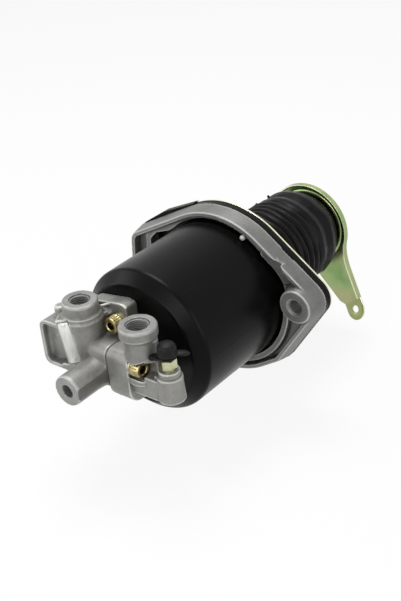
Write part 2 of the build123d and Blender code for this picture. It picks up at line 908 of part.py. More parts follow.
# Air piston: web, hub and skirt with grooves for its seal and guide ring
hub_front = web_front - hub_height
clip_rear = piston_rear - clip_setback
seal_front = skirt_front + groove_land
guide_front = seal_front + seal_width + groove_land
with BuildPart() as air_piston:
    with BuildSketch(Plane.XY):
        with BuildLine():
            Polyline(
                (0, piston_rear),
                (piston_radius, piston_rear),
                (piston_radius, guide_front + guide_width),
                (piston_radius - guide_depth, guide_front + guide_width),
                (piston_radius - guide_depth, guide_front),
                (piston_radius, guide_front),
                (piston_radius, seal_front + seal_width),
                (piston_radius - groove_depth, seal_front + seal_width),
                (piston_radius - groove_depth, seal_front),
                (piston_radius, seal_front),
                (piston_radius, skirt_front),
                (piston_radius - piston_skirt_wall, skirt_front),
                (piston_radius - piston_skirt_wall, web_front),
                (hub_radius, web_front),
                (hub_radius, hub_front),
                (0, hub_front),
                close=True,
            )
        make_face()
    revolve(axis=Axis.Y)
    with BuildSketch(across(piston_rear)):
        Circle(ball_radius + ball_gap)
    extrude(amount=piston_rear - ball_centre, mode=Mode.SUBTRACT)
    with Locations((0, ball_centre, 0)):
        Sphere(ball_radius + ball_gap, mode=Mode.SUBTRACT)
    with BuildSketch(across(clip_rear)):
        Circle(ball_radius + clip_depth)
    extrude(amount=clip_thick, mode=Mode.SUBTRACT)
finish(air_piston, "air_piston")

with BuildPart() as piston_seal:
    with BuildSketch(across(seal_front + seal_width)):
        Circle(can_bore - seal_gap)
        Circle(piston_radius - groove_depth + seal_seat_gap, mode=Mode.SUBTRACT)
    extrude(amount=seal_width)
finish(piston_seal, "piston_seal")

with BuildPart() as guide_ring:
    with BuildSketch(across(guide_front + guide_width)):
        Circle(can_bore - seal_gap)
        Circle(piston_radius - guide_depth + seal_seat_gap, mode=Mode.SUBTRACT)
    extrude(amount=guide_width)
finish(guide_ring, "guide_ring")

# Hydraulic plunger on the piston's hub, with its cup seal
plunger_radius = sleeve_bore - plunger_gap
plunger_seal_rear = plunger_front + plunger_seal_setback + plunger_seal_width
with BuildPart() as hydraulic_plunger:
    with BuildSketch(across(hub_front)):
        Circle(plunger_radius)
    extrude(amount=hub_front - plunger_front)
    with Locations((0, ball_centre, 0)):
        Sphere(ball_radius + ball_gap, mode=Mode.SUBTRACT)
    with BuildSketch(across(plunger_seal_rear)):
        Circle(plunger_radius)
        Circle(plunger_radius - plunger_seal_depth, mode=Mode.SUBTRACT)
    extrude(amount=plunger_seal_width, mode=Mode.SUBTRACT)
finish(hydraulic_plunger, "hydraulic_plunger")

with BuildPart() as plunger_seal:
    with BuildSketch(across(plunger_seal_rear)):
        Circle(plunger_radius)
        Circle(plunger_radius - plunger_seal_depth + seal_seat_gap, mode=Mode.SUBTRACT)
    extrude(amount=plunger_seal_width)
finish(plunger_seal, "plunger_seal")

# Preload spring round the sleeve, from the stiffening plate to the piston's web
spring_start = plate_rear + spring_wire + spring_end_gap
spring_length = web_front - spring_wire - spring_end_gap - spring_start
with BuildPart() as preload_spring:
    with BuildLine() as coil:
        Helix(
            pitch=spring_length / spring_turns,
            height=spring_length,
            radius=spring_radius,
            center=(0, spring_start, 0),
            direction=(0, 1, 0),
        )
    with BuildSketch(Plane(coil.line @ 0, z_dir=coil.line % 0)):
        Circle(spring_wire)
    sweep()
finish(preload_spring, "preload_spring")

# Push rod with its ball, and the ring that holds the ball in the piston
with BuildPart() as push_rod:
    with Locations((0, ball_centre, 0)):
        Sphere(ball_radius)
    with BuildSketch(across(ball_centre)):
        Circle(rod_neck_radius)
    extrude(amount=ball_centre - rod_shoulder)
    with BuildSketch(across(rod_shoulder)):
        Circle(rod_radius)
    extrude(amount=rod_shoulder - rod_end + rod_radius)
    with Locations((0, rod_end - rod_radius, 0)):
        Sphere(rod_radius)
finish(push_rod, "push_rod")

with BuildPart() as rod_clip:
    with BuildSketch(across(clip_rear)):
        Circle(ball_radius + clip_depth - clip_gap)
        Circle(clip_inner, mode=Mode.SUBTRACT)
        with Locations((0, -ball_radius)):
            Rectangle(clip_split, ball_radius, mode=Mode.SUBTRACT)
    extrude(amount=clip_thick)
finish(rod_clip, "rod_clip")

# Boot: tight folds, two wide folds, and a waist that holds the end ring
def fold_row(start, end, count, peak, valley):
    step = (end - start) / count
    rows = []
    for i in range(count):
        rows.append((valley, start + i * step))
        rows.append((peak, start + (i + 0.5) * step))
    return rows


collar_outer = cover_collar_radius + boot_gap
boot_outer = (
    [(boot_front_radius, -cover_recess), (boot_front_radius, boot_fold_start / 2)]
    + fold_row(boot_fold_start, boot_fold_end, boot_fold_count, boot_fold_radius, boot_valley_radius)
    + fold_row(boot_fold_end, boot_wave_end, 2, boot_wave_radius, boot_wave_valley)
    + [(boot_waist_radius, boot_waist_y), (boot_end_radius, ring_y)]
)
boot_inner = (
    [(collar_outer, -cover_recess), (collar_outer, cover_collar_height)]
    + [(r - boot_wall, y) for r, y in boot_outer[2:-1]]
    + [(boot_bead_inner, ring_y)]
)
with BuildPart() as boot:
    with BuildSketch(Plane.XY):
        with BuildLine():
            Polyline(
                *boot_outer,
                (ring_hole_radius - boot_gap, ring_y),
                (ring_hole_radius - boot_gap, ring_y + ring_thick),
                (ring_hole_radius + boot_bead, ring_y + ring_thick),
                (ring_hole_radius, ring_y + ring_thick + 2 * boot_bead),
                (boot_bead_inner - boot_lip, ring_y + ring_thick + 2 * boot_bead),
                (boot_bead_inner - boot_lip, ring_y),
                *reversed(boot_inner),
                close=True,
            )
        make_face()
    revolve(axis=Axis.Y)
finish(boot, "boot")

# End ring: pressed annulus with a lip, and an arm with a folded edge and a bent tongue
arm_fold = [(x - ring_thick, z) for x, z in arm_right]
bend_x = (bend_left[0] + bend_right[0]) / 2
bend_z = (bend_left[1] + bend_right[1]) / 2
bend_run = hypot(bend_right[0] - bend_left[0], bend_right[1] - bend_left[1])
bend_along = (bend_right[0] - bend_left[0]) / bend_run
bend_rise = (bend_right[1] - bend_left[1]) / bend_run
bend_plane = Plane((bend_x, ring_y, bend_z), x_dir=(bend_along, 0, bend_rise), z_dir=(0, -1, 0))
tongue_plane = bend_plane.rotated((arm_bend, 0, 0))
with BuildPart() as end_ring:
    with BuildSketch(across(ring_y)):
        Circle(ring_radius)
        Polygon(*arm_left, *arm_right, align=None)
        Circle(ring_hole_radius, mode=Mode.SUBTRACT)
    extrude(amount=-ring_thick)
    with BuildSketch(across(ring_y)):
        Circle(ring_radius)
        Polygon(*arm_right, *reversed(arm_fold), align=None)
        Circle(ring_radius - ring_thick, mode=Mode.SUBTRACT)
    extrude(amount=ring_lip)
    with BuildSketch(tongue_plane):
        with Locations((0, -tongue_reach)):
            Circle(arm_tip_radius)
        with Locations((0, -tongue_reach / 2)):
            Rectangle(2 * arm_tip_radius, tongue_reach)
        with Locations((0, -tongue_reach)):
            Circle(arm_hole_radius, mode=Mode.SUBTRACT)
    extrude(amount=-ring_thick)
finish(end_ring, "end_ring")
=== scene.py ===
from math import atan2, cos, pi, radians, sin, tau

import bmesh
import bpy
from mathutils import Matrix, Vector, noise


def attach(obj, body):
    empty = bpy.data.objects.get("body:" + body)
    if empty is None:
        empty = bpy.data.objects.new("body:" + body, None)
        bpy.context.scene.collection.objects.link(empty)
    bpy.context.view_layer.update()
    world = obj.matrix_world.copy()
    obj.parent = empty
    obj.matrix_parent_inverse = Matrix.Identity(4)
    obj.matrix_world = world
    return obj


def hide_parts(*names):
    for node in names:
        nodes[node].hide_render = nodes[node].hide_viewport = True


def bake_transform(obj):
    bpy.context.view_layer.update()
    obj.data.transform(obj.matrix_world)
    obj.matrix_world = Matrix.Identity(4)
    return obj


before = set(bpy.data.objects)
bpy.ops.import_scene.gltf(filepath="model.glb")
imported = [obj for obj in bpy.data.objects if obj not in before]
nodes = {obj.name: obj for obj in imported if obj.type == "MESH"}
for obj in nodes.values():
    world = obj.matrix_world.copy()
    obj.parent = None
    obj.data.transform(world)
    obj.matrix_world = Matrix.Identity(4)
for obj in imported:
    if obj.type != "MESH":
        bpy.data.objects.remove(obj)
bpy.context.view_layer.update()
mm = 0.001  # shapes are worked out in millimetres and made metres at the end
print("clutch servo: frame loaded,", len(nodes), "nodes")

# camera at the photo's angle, with its slight roll; it aims at the flange's face
cameraSettings = {
    "azimuth": 41.41, "elevation": 30.08, "roll": -5.94, "distance": 917.71, "shiftRight": 21.92,
    "shiftUp": 14.19, "aimFront": 7.5, "focalPixels": 1141.55, "imageHeight": 601, "sensor": 36,
    "clipStart": 0.01,
}


def makeCamera(s):
    a, e, r = (radians(s[k]) for k in ("azimuth", "elevation", "roll"))
    back = Vector((sin(a) * cos(e), -cos(a) * cos(e), sin(e)))
    level = Vector((cos(a), sin(a), 0))
    up = back.cross(level)
    right = cos(r) * level + sin(r) * up
    top = -sin(r) * level + cos(r) * up
    aim = Vector((0, -s["aimFront"], 0)) - right * s["shiftRight"] - top * s["shiftUp"]
    eye = aim + back * s["distance"]
    data = bpy.data.cameras.new("photoCamera")
    data.sensor_width = s["sensor"]
    data.lens = s["focalPixels"] / s["imageHeight"] * s["sensor"]
    data.clip_start = s["clipStart"]
    camera = bpy.data.objects.new("photoCamera", data)
    turn = Matrix((right, top, back)).transposed().to_4x4()
    camera.matrix_world = Matrix.Translation(eye * mm) @ turn
    bpy.context.scene.collection.objects.link(camera)
    bpy.context.scene.camera = camera


makeCamera(cameraSettings)


# materials: a small kit for shader nodes, then one function for each kind of finish
def newMaterial(name):
    material = bpy.data.materials.new(name)
    material.use_nodes = True
    tree = material.node_tree
    shader = tree.nodes["Principled BSDF"]
    coords = tree.nodes.new("ShaderNodeTexCoord")
    return material, tree, shader, coords.outputs["Object"]


def noiseNode(tree, coords, scale, detail, rough, stretch=(1, 1, 1)):
    mapping = tree.nodes.new("ShaderNodeMapping")
    mapping.inputs["Scale"].default_value = stretch
    tree.links.new(coords, mapping.inputs["Vector"])
    pattern = tree.nodes.new("ShaderNodeTexNoise")
    pattern.inputs["Scale"].default_value = scale
    pattern.inputs["Detail"].default_value = detail
    pattern.inputs["Roughness"].default_value = rough
    tree.links.new(mapping.outputs["Vector"], pattern.inputs["Vector"])
    return pattern.outputs["Fac"]


def rampNode(tree, value, stops):
    ramp = tree.nodes.new("ShaderNodeValToRGB")
    elements = ramp.color_ramp.elements
    while len(elements) < len(stops):
        elements.new(0.5)
    for element, (place, colour) in zip(elements, stops):
        element.position = place
        element.color = (*colour, 1)
    tree.links.new(value, ramp.inputs["Fac"])
    return ramp.outputs["Color"]


def rangeNode(tree, value, low, high, fromLow, fromHigh):
    node = tree.nodes.new("ShaderNodeMapRange")
    node.inputs["From Min"].default_value = fromLow
    node.inputs["From Max"].default_value = fromHigh
    node.inputs["To Min"].default_value = low
    node.inputs["To Max"].default_value = high
    tree.links.new(value, node.inputs["Value"])
    return node.outputs["Result"]


def mixNode(tree, factor, a, b, blend="MIX"):
    node = tree.nodes.new("ShaderNodeMix")
    node.data_type = "RGBA"
    node.blend_type = blend
    for socket, value in ((node.inputs[0], factor), (node.inputs[6], a), (node.inputs[7], b)):
        if isinstance(value, bpy.types.NodeSocket):
            tree.links.new(value, socket)
        else:
            socket.default_value = value if isinstance(value, float) else (*value, 1)
    return node.outputs[2]


def bumpNode(tree, height, strength, distance, under=None):
    node = tree.nodes.new("ShaderNodeBump")
    node.inputs["Strength"].default_value = strength
    node.inputs["Distance"].default_value = distance
    tree.links.new(height, node.inputs["Height"])
    if under:
        tree.links.new(under, node.inputs["Normal"])
    return node.outputs["Normal"]


def varyRoughness(tree, shader, pattern, rough, less, more):
    spread = rangeNode(tree, pattern, rough - less, rough + more, 0.3, 0.7)
    tree.links.new(spread, shader.inputs["Roughness"])


def paler(colour, gain):
    return tuple(c * gain + 0.004 for c in colour)


# castings carry an edge attribute: above zero on worn edges, which are lightened as wear together with a
# painted highlight, below zero in corners, which are darkened as painted shade
wearAndShadeSettings = {
    "gain": 8.0, "passes": 2, "machined": 0.1, "joint": -0.45, "jointReach": 1.0,
    "brightFrom": 0.12, "brightFull": 0.6, "shadeFrom": -0.1, "shadeFull": -0.5,
}


def wearAndShadeNode(tree, colour, light, dark):
    s = wearAndShadeSettings
    edgeLevel = tree.nodes.new("ShaderNodeAttribute")
    edgeLevel.attribute_name = "edgeWearAndShade"
    # edges are lightened as wear with a painted highlight, corners are darkened as painted shade
    wearAndPaintedLight = rangeNode(tree, edgeLevel.outputs["Fac"], 0.0, 1.0, s["brightFrom"], s["brightFull"])
    cornerShade = rangeNode(tree, edgeLevel.outputs["Fac"], 1.0, 0.0, s["shadeFull"], s["shadeFrom"])
    return mixNode(tree, cornerShade, mixNode(tree, wearAndPaintedLight, colour, light), dark)


# every metal has broad patches from dark to light, fine specks and a grain
metalLook = {
    "darkBelow": 0.32, "lightAbove": 0.66, "speckAt": 0.3, "speckGone": 0.62,
    "speckShade": (0.78, 0.78, 0.78), "speckShare": 0.7, "smoother": 0.07, "rougher": 0.09,
    "grainDepth": 0.0003, "patchDepth": 0.0006, "patchShare": 0.5,
}


def metal(name, light, dark, rough, grain, patches, bump, metallic=1.0, stretch=(1, 1, 1), wearAndPaintedLight=None):
    s = metalLook
    material, tree, shader, coords = newMaterial(name)
    broad = noiseNode(tree, coords, patches, 5.0, 0.6)
    fine = noiseNode(tree, coords, grain, 3.0, 0.6, stretch)
    colour = rampNode(tree, broad, ((s["darkBelow"], dark), (s["lightAbove"], light)))
    specks = rampNode(tree, fine, ((s["speckAt"], s["speckShade"]), (s["speckGone"], (1, 1, 1))))
    surface = mixNode(tree, s["speckShare"], colour, specks, "MULTIPLY")
    if wearAndPaintedLight:
        surface = wearAndShadeNode(tree, surface, *wearAndPaintedLight)
    tree.links.new(surface, shader.inputs["Base Color"])
    varyRoughness(tree, shader, broad, rough, s["smoother"], s["rougher"])
    grainNormal = bumpNode(tree, fine, bump, s["grainDepth"])
    normal = bumpNode(tree, broad, bump * s["patchShare"], s["patchDepth"], grainNormal)
    tree.links.new(normal, shader.inputs["Normal"])
    shader.inputs["Metallic"].default_value = metallic
    return material


# black paint with orange peel and faint dusty scuffs
paintLook = {
    "colour": (0.002, 0.002, 0.0021), "rough": 0.28, "gloss": 0.09, "patches": 24.0,
    "peel": 520.0, "peelBump": 0.12, "peelDepth": 0.0002,
    "scuffs": 70.0, "scuffStretch": (1, 0.25, 1), "scuffFrom": 0.6, "scuffFull": 0.78, "scuffGain": 2.4,
}


def blackPaint(name, s):
    material, tree, shader, coords = newMaterial(name)
    broad = noiseNode(tree, coords, s["patches"], 5.0, 0.6)
    peel = noiseNode(tree, coords, s["peel"], 2.0, 0.5)
    scuffs = noiseNode(tree, coords, s["scuffs"], 8.0, 0.75, s["scuffStretch"])
    scuffed = paler(s["colour"], s["scuffGain"])
    dust = rampNode(tree, scuffs, ((s["scuffFrom"], s["colour"]), (s["scuffFull"], scuffed)))
    tree.links.new(dust, shader.inputs["Base Color"])
    varyRoughness(tree, shader, broad, s["rough"], 0.06, 0.08)
    tree.links.new(bumpNode(tree, peel, s["peelBump"], s["peelDepth"]), shader.inputs["Normal"])
    shader.inputs["Specular IOR Level"].default_value = s["gloss"]
    return material


rubberLook = {"patches": 40.0, "bloomFrom": 0.35, "bloomFull": 0.75, "bloomGain": 1.7, "skinDepth": 0.0003}


def rubber(name, colour, rough, grain=300.0, bump=0.2, gloss=0.2):
    s = rubberLook
    material, tree, shader, coords = newMaterial(name)
    broad = noiseNode(tree, coords, s["patches"], 5.0, 0.6)
    skin = noiseNode(tree, coords, grain, 4.0, 0.6)
    stops = ((s["bloomFrom"], colour), (s["bloomFull"], paler(colour, s["bloomGain"])))
    tree.links.new(rampNode(tree, broad, stops), shader.inputs["Base Color"])
    varyRoughness(tree, shader, skin, rough, 0.08, 0.1)
    tree.links.new(bumpNode(tree, skin, bump, s["skinDepth"]), shader.inputs["Normal"])
    shader.inputs["Specular IOR Level"].default_value = gloss
    return material


# zinc film that drifts from green over yellow to a faint pink
zincLook = {
    "drift": 26.0, "stops": (0.3, 0.46, 0.6, 0.74), "film": 90.0, "filmFrom": 0.3, "filmFull": 0.65,
    "filmShade": (0.8, 0.8, 0.8), "filmShare": 0.8, "rough": 0.3, "grain": 900.0, "bump": 0.06,
    "depth": 0.0002,
}
plateTints = ((0.22, 0.36, 0.13), (0.34, 0.44, 0.2), (0.42, 0.43, 0.22), (0.44, 0.33, 0.22))
# the bent tongue takes duller, darker tints: painted shade that sets it off from the plate at the bend
tongueShadeTints = ((0.26, 0.33, 0.13), (0.33, 0.38, 0.17), (0.36, 0.37, 0.18), (0.38, 0.33, 0.18))


def yellowZinc(name, tints):
    s = zincLook
    material, tree, shader, coords = newMaterial(name)
    broad = noiseNode(tree, coords, s["drift"], 3.0, 0.5)
    film = noiseNode(tree, coords, s["film"], 4.0, 0.6)
    fine = noiseNode(tree, coords, s["grain"], 2.0, 0.6)
    tint = rampNode(tree, broad, tuple(zip(s["stops"], tints)))
    shade = rampNode(tree, film, ((s["filmFrom"], s["filmShade"]), (s["filmFull"], (1, 1, 1))))
    surface = mixNode(tree, s["filmShare"], tint, shade, "MULTIPLY")
    tree.links.new(surface, shader.inputs["Base Color"])
    varyRoughness(tree, shader, film, s["rough"], 0.06, 0.1)
    tree.links.new(bumpNode(tree, fine, s["bump"], s["depth"]), shader.inputs["Normal"])
    shader.inputs["Metallic"].default_value = 1.0
    return material


# each worn pair gives the lightened colour of worn edges, with their painted highlight, and the darkened
# colour of corners, which is painted shade
castAluminium = metal("castAluminium", light=(0.3, 0.298, 0.28), dark=(0.19, 0.188, 0.175), rough=0.46,
                      grain=650.0, patches=45.0, bump=0.5, metallic=0.4,
                      wearAndPaintedLight=((0.56, 0.56, 0.53), (0.1, 0.098, 0.088)))
# a darker copy of the cast aluminium, which paints shade over the whole flange
flangeAluminiumShaded = metal("flangeAluminiumShaded", light=(0.2, 0.2, 0.19), dark=(0.135, 0.135, 0.128), rough=0.48,
                        grain=650.0, patches=45.0, bump=0.5, metallic=0.4,
                        wearAndPaintedLight=((0.46, 0.46, 0.44), (0.07, 0.07, 0.065)))
machinedAluminium = metal("machinedAluminium", light=(0.34, 0.34, 0.325), dark=(0.24, 0.24, 0.23),
                          rough=0.34, grain=900.0, patches=60.0, bump=0.12, metallic=0.5)
brushedPlate = metal("brushedPlate", light=(0.74, 0.75, 0.72), dark=(0.62, 0.63, 0.6), rough=0.4,
                     grain=500.0, patches=90.0, bump=0.12, metallic=0.5, stretch=(1, 1, 0.08))
# pale zinc for rims and cut edges: worn edges with a painted highlight
zincEdgeHighlight = metal("zincEdgeHighlight", light=(0.92, 0.88, 0.68), dark=(0.8, 0.76, 0.55), rough=0.3,
                 grain=800.0, patches=120.0, bump=0.15)
zincScrew = metal("zincScrew", light=(0.56, 0.48, 0.24), dark=(0.26, 0.21, 0.08), rough=0.3,
                  grain=800.0, patches=260.0, bump=0.15)
# near-black zinc for the inside of the sockets: painted shade in the recess
zincSocketShade = metal("zincSocketShade", light=(0.1, 0.075, 0.03), dark=(0.03, 0.022, 0.01), rough=0.45,
                   grain=800.0, patches=120.0, bump=0.15)
zincWasher = metal("zincWasher", light=(0.46, 0.44, 0.32), dark=(0.3, 0.28, 0.19), rough=0.34,
                   grain=800.0, patches=120.0, bump=0.15)
greenZinc = metal("greenZinc", light=(0.62, 0.62, 0.4), dark=(0.4, 0.41, 0.24), rough=0.34,
                  grain=800.0, patches=90.0, bump=0.15)
springSteel = metal("springSteel", light=(0.2, 0.2, 0.205), dark=(0.11, 0.11, 0.115), rough=0.36,
                    grain=700.0, patches=80.0, bump=0.15)
groundSteel = metal("groundSteel", light=(0.5, 0.5, 0.52), dark=(0.42, 0.42, 0.44), rough=0.22,
                    grain=900.0, patches=60.0, bump=0.08)
turnedBrass = metal("turnedBrass", light=(0.62, 0.46, 0.2), dark=(0.5, 0.35, 0.14), rough=0.3,
                    grain=800.0, patches=90.0, bump=0.12)
canPaint = blackPaint("canPaint", paintLook)
zincPlate = yellowZinc("zincPlate", plateTints)
zincTongueShade = yellowZinc("zincTongueShade", tongueShadeTints)
bootRubber = rubber("bootRubber", (0.0025, 0.0025, 0.0027), 0.33, gloss=0.1)
capRubber = rubber("capRubber", (0.005, 0.005, 0.0055), 0.45, grain=500.0, bump=0.12, gloss=0.15)
gasketRubber = rubber("gasketRubber", (0.004, 0.004, 0.004), 0.6, gloss=0.1)
sealRubber = rubber("sealRubber", (0.02, 0.02, 0.02), 0.55)
guidePlastic = rubber("guidePlastic", (0.62, 0.58, 0.46), 0.45, grain=400.0, bump=0.1)

nodeFinish = {
    "air_piston": machinedAluminium, "bleed_screw": greenZinc, "boot": bootRubber, "cap_strap": capRubber,
    "cylinder": canPaint, "dust_cap": capRubber, "end_ring": zincPlate, "flange_ring": castAluminium,
    "flat_washers": zincWasher, "guide_ring": guidePlastic, "housing_screws": zincScrew,
    "hydraulic_housing": castAluminium, "hydraulic_plunger": groundSteel, "hydraulic_screw": zincScrew,
    "hydraulic_sleeve": groundSteel, "inlet_valve": turnedBrass, "nameplate": brushedPlate,
    "nameplate_rivets": brushedPlate, "piston_seal": sealRubber, "plug_ring": springSteel,
    "plunger_seal": sealRubber, "preload_spring": springSteel, "push_rod": groundSteel,
    "rear_cover": zincPlate, "relay_piston": machinedAluminium, "relay_plug": machinedAluminium,
    "relay_spring": springSteel, "rim_gasket": gasketRubber, "rod_clip": springSteel,
    "spring_washers": zincWasher, "stiffener_plate": canPaint, "valve_housing": castAluminium,
}
for nodeName, finish in nodeFinish.items():
    for materialSlot in nodes[nodeName].material_slots:
        materialSlot.material = finish
print("clutch servo: finishes on", len(nodeFinish), "nodes")


# mesh kit: shapes in millimetres, turned into pieces in metres at the end
def inMetres(bm):
    bmesh.ops.scale(bm, vec=(mm, mm, mm), verts=bm.verts)
    return bm


def inMillimetres(bm):
    bmesh.ops.scale(bm, vec=(1 / mm, 1 / mm, 1 / mm), verts=bm.verts)
    return bm


def makePiece(name, bm, body, finishes, covers=(), sharp=32.0):
    bmesh.ops.recalc_face_normals(bm, faces=bm.faces)
    mesh = bpy.data.meshes.new(name)
    bm.to_mesh(mesh)
    bm.free()
    for finish in finishes:
        mesh.materials.append(finish)
    mesh.shade_smooth()
    mesh.set_sharp_from_angle(angle=radians(sharp))
    piece = bpy.data.objects.new(name, mesh)
    bpy.context.scene.collection.objects.link(piece)
    if body:
        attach(piece, body)
    if covers:
        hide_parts(*covers)
    return piece


def nodeCopy(name):
    bm = bmesh.new()
    bm.from_mesh(nodes[name].data)
    bmesh.ops.remove_doubles(bm, verts=bm.verts, dist=0.000001)
    return inMillimetres(bm)


def alongAxis(point, direction):
    return Matrix.Translation(point) @ Vector(direction).to_track_quat("Z", "Y").to_matrix().to_4x4()


def addBox(bm, centre, size, degrees, axis):
    turn = Matrix.Rotation(radians(degrees), 4, axis)
    place = Matrix.Translation(centre) @ turn @ Matrix.Diagonal((*size, 1))
    bmesh.ops.create_cube(bm, size=1, matrix=place)


def addRod(bm, start, end, radius, endRadius, steps):
    start, end = Vector(start), Vector(end)
    along = end - start
    bmesh.ops.create_cone(bm, cap_ends=True, segments=steps, radius1=radius, radius2=endRadius,
                          depth=along.length, matrix=alongAxis((start + end) / 2, along))


def smoothVerts(bm, verts, rounds, factor=0.5):
    for _ in range(rounds):
        bmesh.ops.smooth_vert(bm, verts=verts, factor=factor, use_axis_x=True, use_axis_y=True,
                              use_axis_z=True)


def asObject(name, bm):
    mesh = bpy.data.meshes.new(name)
    inMetres(bm).to_mesh(mesh)
    bm.free()
    source = bpy.data.objects.new(name, mesh)
    bpy.context.scene.collection.objects.link(source)
    return source


def addSkin(source, voxel):
    remesh = source.modifiers.new("skin", "REMESH")
    remesh.mode = "VOXEL"
    remesh.voxel_size = voxel * mm


# one closed skin over a shape of several bodies, with the cutter's shape taken out of it
def skinOver(bm, voxel, cutter=None):
    helpers = [asObject("skinSource", bm)]
    source = helpers[0]
    addSkin(source, voxel)
    if cutter:
        knife = asObject("skinCutter", cutter)
        helpers.append(knife)
        addSkin(knife, voxel)
        cut = source.modifiers.new("cut", "BOOLEAN")
        cut.operation = "DIFFERENCE"
        cut.solver = "MANIFOLD"
        cut.object = knife
        addSkin(source, voxel)
    finished = source.evaluated_get(bpy.context.evaluated_depsgraph_get())
    skinned = bpy.data.meshes.new_from_object(finished)
    result = bmesh.new()
    result.from_mesh(skinned)
    for helper in helpers:
        bpy.data.meshes.remove(helper.data)
    bpy.data.meshes.remove(skinned)
    return inMillimetres(result)


# machined zones are snapped back onto the CAD faces: a flat is (axis, level, centre, reach),
# and a bore is (axis, radius, centre, low, high, new radius)
def machineZones(bm, flats, bores, grip):
    held = set()
    for vert in bm.verts:
        for axis, level, centre, reach in flats:
            if abs(vert.co[axis] - level) < grip and (vert.co - Vector(centre)).length < reach:
                vert.co[axis] = level
                held.add(vert)
        for axis, radius, centre, low, high, newRadius in bores:
            if low <= vert.co[axis] <= high:
                out = vert.co - Vector(centre)
                out[axis] = 0
                if abs(out.length - radius) < grip:
                    vert.co += out * (newRadius / out.length - 1)
                    held.add(vert)
    return held


# how far each vertex stands out from its neighbours, evened out a little
def markWearAndShade(bm, held, voxel, seam):
    s = wearAndShadeSettings
    layer = bm.verts.layers.float.new("edgeWearAndShade")
    bm.normal_update()
    around = {vert: [edge.other_vert(vert) for edge in vert.link_edges] for vert in bm.verts}
    edgeLevel = {}
    for vert, ring in around.items():
        middle = sum((other.co for other in ring), Vector()) / len(ring)
        bulge = s["gain"] * (vert.co - middle).dot(vert.normal) / voxel
        edgeLevel[vert] = s["machined"] if vert in held else max(-1.0, min(1.0, bulge))
    for _ in range(s["passes"]):
        edgeLevel = {vert: (edgeLevel[vert] + sum(edgeLevel[other] for other in ring)) / (1 + len(ring))
                for vert, ring in around.items()}
    # the level lightens edges as wear with a painted highlight and darkens corners as painted shade; the seam
    # is held dark as a joint
    for vert in bm.verts:
        inJoint = seam is not None and abs(vert.co.x - seam) < s["jointReach"]
        vert[layer] = s["joint"] if inJoint else edgeLevel[vert]


# a corner is (axis, centre of its round, radius, quarter), with the quarter as a sign for each other axis
def roundCorners(bm, corners):
    farthest = 1.3  # times the radius
    for axis, centre, radius, quarter in corners:
        others = [i for i in range(3) if i != axis]
        for vert in bm.verts:
            out = vert.co - Vector(centre)
            out[axis] = 0
            inQuarter = all(0 < out[i] * quarter[i] < radius * farthest for i in others)
            if inQuarter and out.length > radius:
                vert.co -= out * (1 - radius / out.length)


def makeCasting(name, node, s, cast=castAluminium):
    bm = nodeCopy(node)
    for rod in s.get("rods", ()):
        addRod(bm, *rod)
    for box in s.get("boxes", ()):
        addBox(bm, *box)
    for centre, radius in s.get("nubs", ()):
        bmesh.ops.create_icosphere(bm, subdivisions=3, radius=radius, matrix=Matrix.Translation(centre))
    cutter = None
    if "pocket" in s:
        cutter = bmesh.new()
        for box in s["pocket"]:
            addBox(cutter, *box)
    bm = skinOver(bm, s["voxel"], cutter)
    roundCorners(bm, s.get("corners", ()))
    for centre, reach, rounds in s.get("softer", ()):
        near = [vert for vert in bm.verts if (vert.co - Vector(centre)).length < reach]
        smoothVerts(bm, near, rounds)
    grip = 0.8 * s["voxel"]  # vertices this near to a machined face are snapped onto it
    held = machineZones(bm, s["flats"], s["bores"], grip)
    smoothVerts(bm, [vert for vert in bm.verts if vert not in held], s["rounds"])
    for face in bm.faces:
        face.material_index = int(all(vert in held for vert in face.verts))
    markWearAndShade(bm, held, s["voxel"], s.get("seam"))
    print("clutch servo:", name, len(bm.faces), "faces")
    makePiece(name, inMetres(bm), "housing", (cast, machinedAluminium), (node,),
              sharp=50.0)


# castings: skinned over the CAD solid with some cast forms added, edges softened, machined faces left flat
relayX, portY = -27.7, -142.5
hydraulicX = 27.4
noseX, noseZ, noseFront = -10.0, -4.0, -184.0
bleedX, bleedY, bossTop = 50.5, -140.5, 11.0
valveCasting = {
    "voxel": 0.62, "rounds": 5, "seam": 2.0,
    "flats": ((2, 46.0, (relayX, portY, 46.0), 13.2), (1, noseFront, (noseX, noseFront, noseZ), 11.4)),
    "bores": ((2, 7.2, (relayX, portY, 0), 32.0, 46.0, 8.1),
              (1, 5.0, (noseX, 0, noseZ), noseFront, -162.0, 5.0)),
    "corners": ((1, (-51.5, -146.0, 19.5), 8.5, (-1, 0, 1)), (1, (-52.5, -146.0, -3.5), 7.5, (-1, 0, -1))),
    "softer": (((-47.0, -157.0, 8.5), 24.0, 6),),
    "rods": (  # two lugs behind the air port's rim, and two ribs from the column to the foot
        ((-46.4, portY - 3.6, 22.0), (-46.4, portY - 3.6, 37.6), 4.4, 3.9, 48),
        ((-44.6, portY + 1.4, 22.0), (-44.6, portY + 1.4, 37.6), 4.6, 4.1, 48),
        ((-23.0, -135.2, 37.0), (-15.2, -127.0, 37.6), 1.1, 1.1, 16),
        ((-22.0, -138.0, 30.4), (-13.6, -127.0, 30.6), 1.1, 1.1, 16),
    ),
    "boxes": (  # floor of the pocket, in two facets that meet in a crease
        ((-51.0, -146.6, 19.0), (13, 6, 13), 24, "Z"),
        ((-51.0, -147.6, 3.0), (13, 6, 21), 18, "Z"),
    ),
    "pocket": (  # the pocket's opening, widened to the edge of the nameplate's facet
        ((-48.3, -158.0, 8.7), (13.5, 15, 31.5), 0, "Y"),
        ((-40.4, -158.0, 9.5), (9, 14, 29), -10, "Y"),
    ),
}
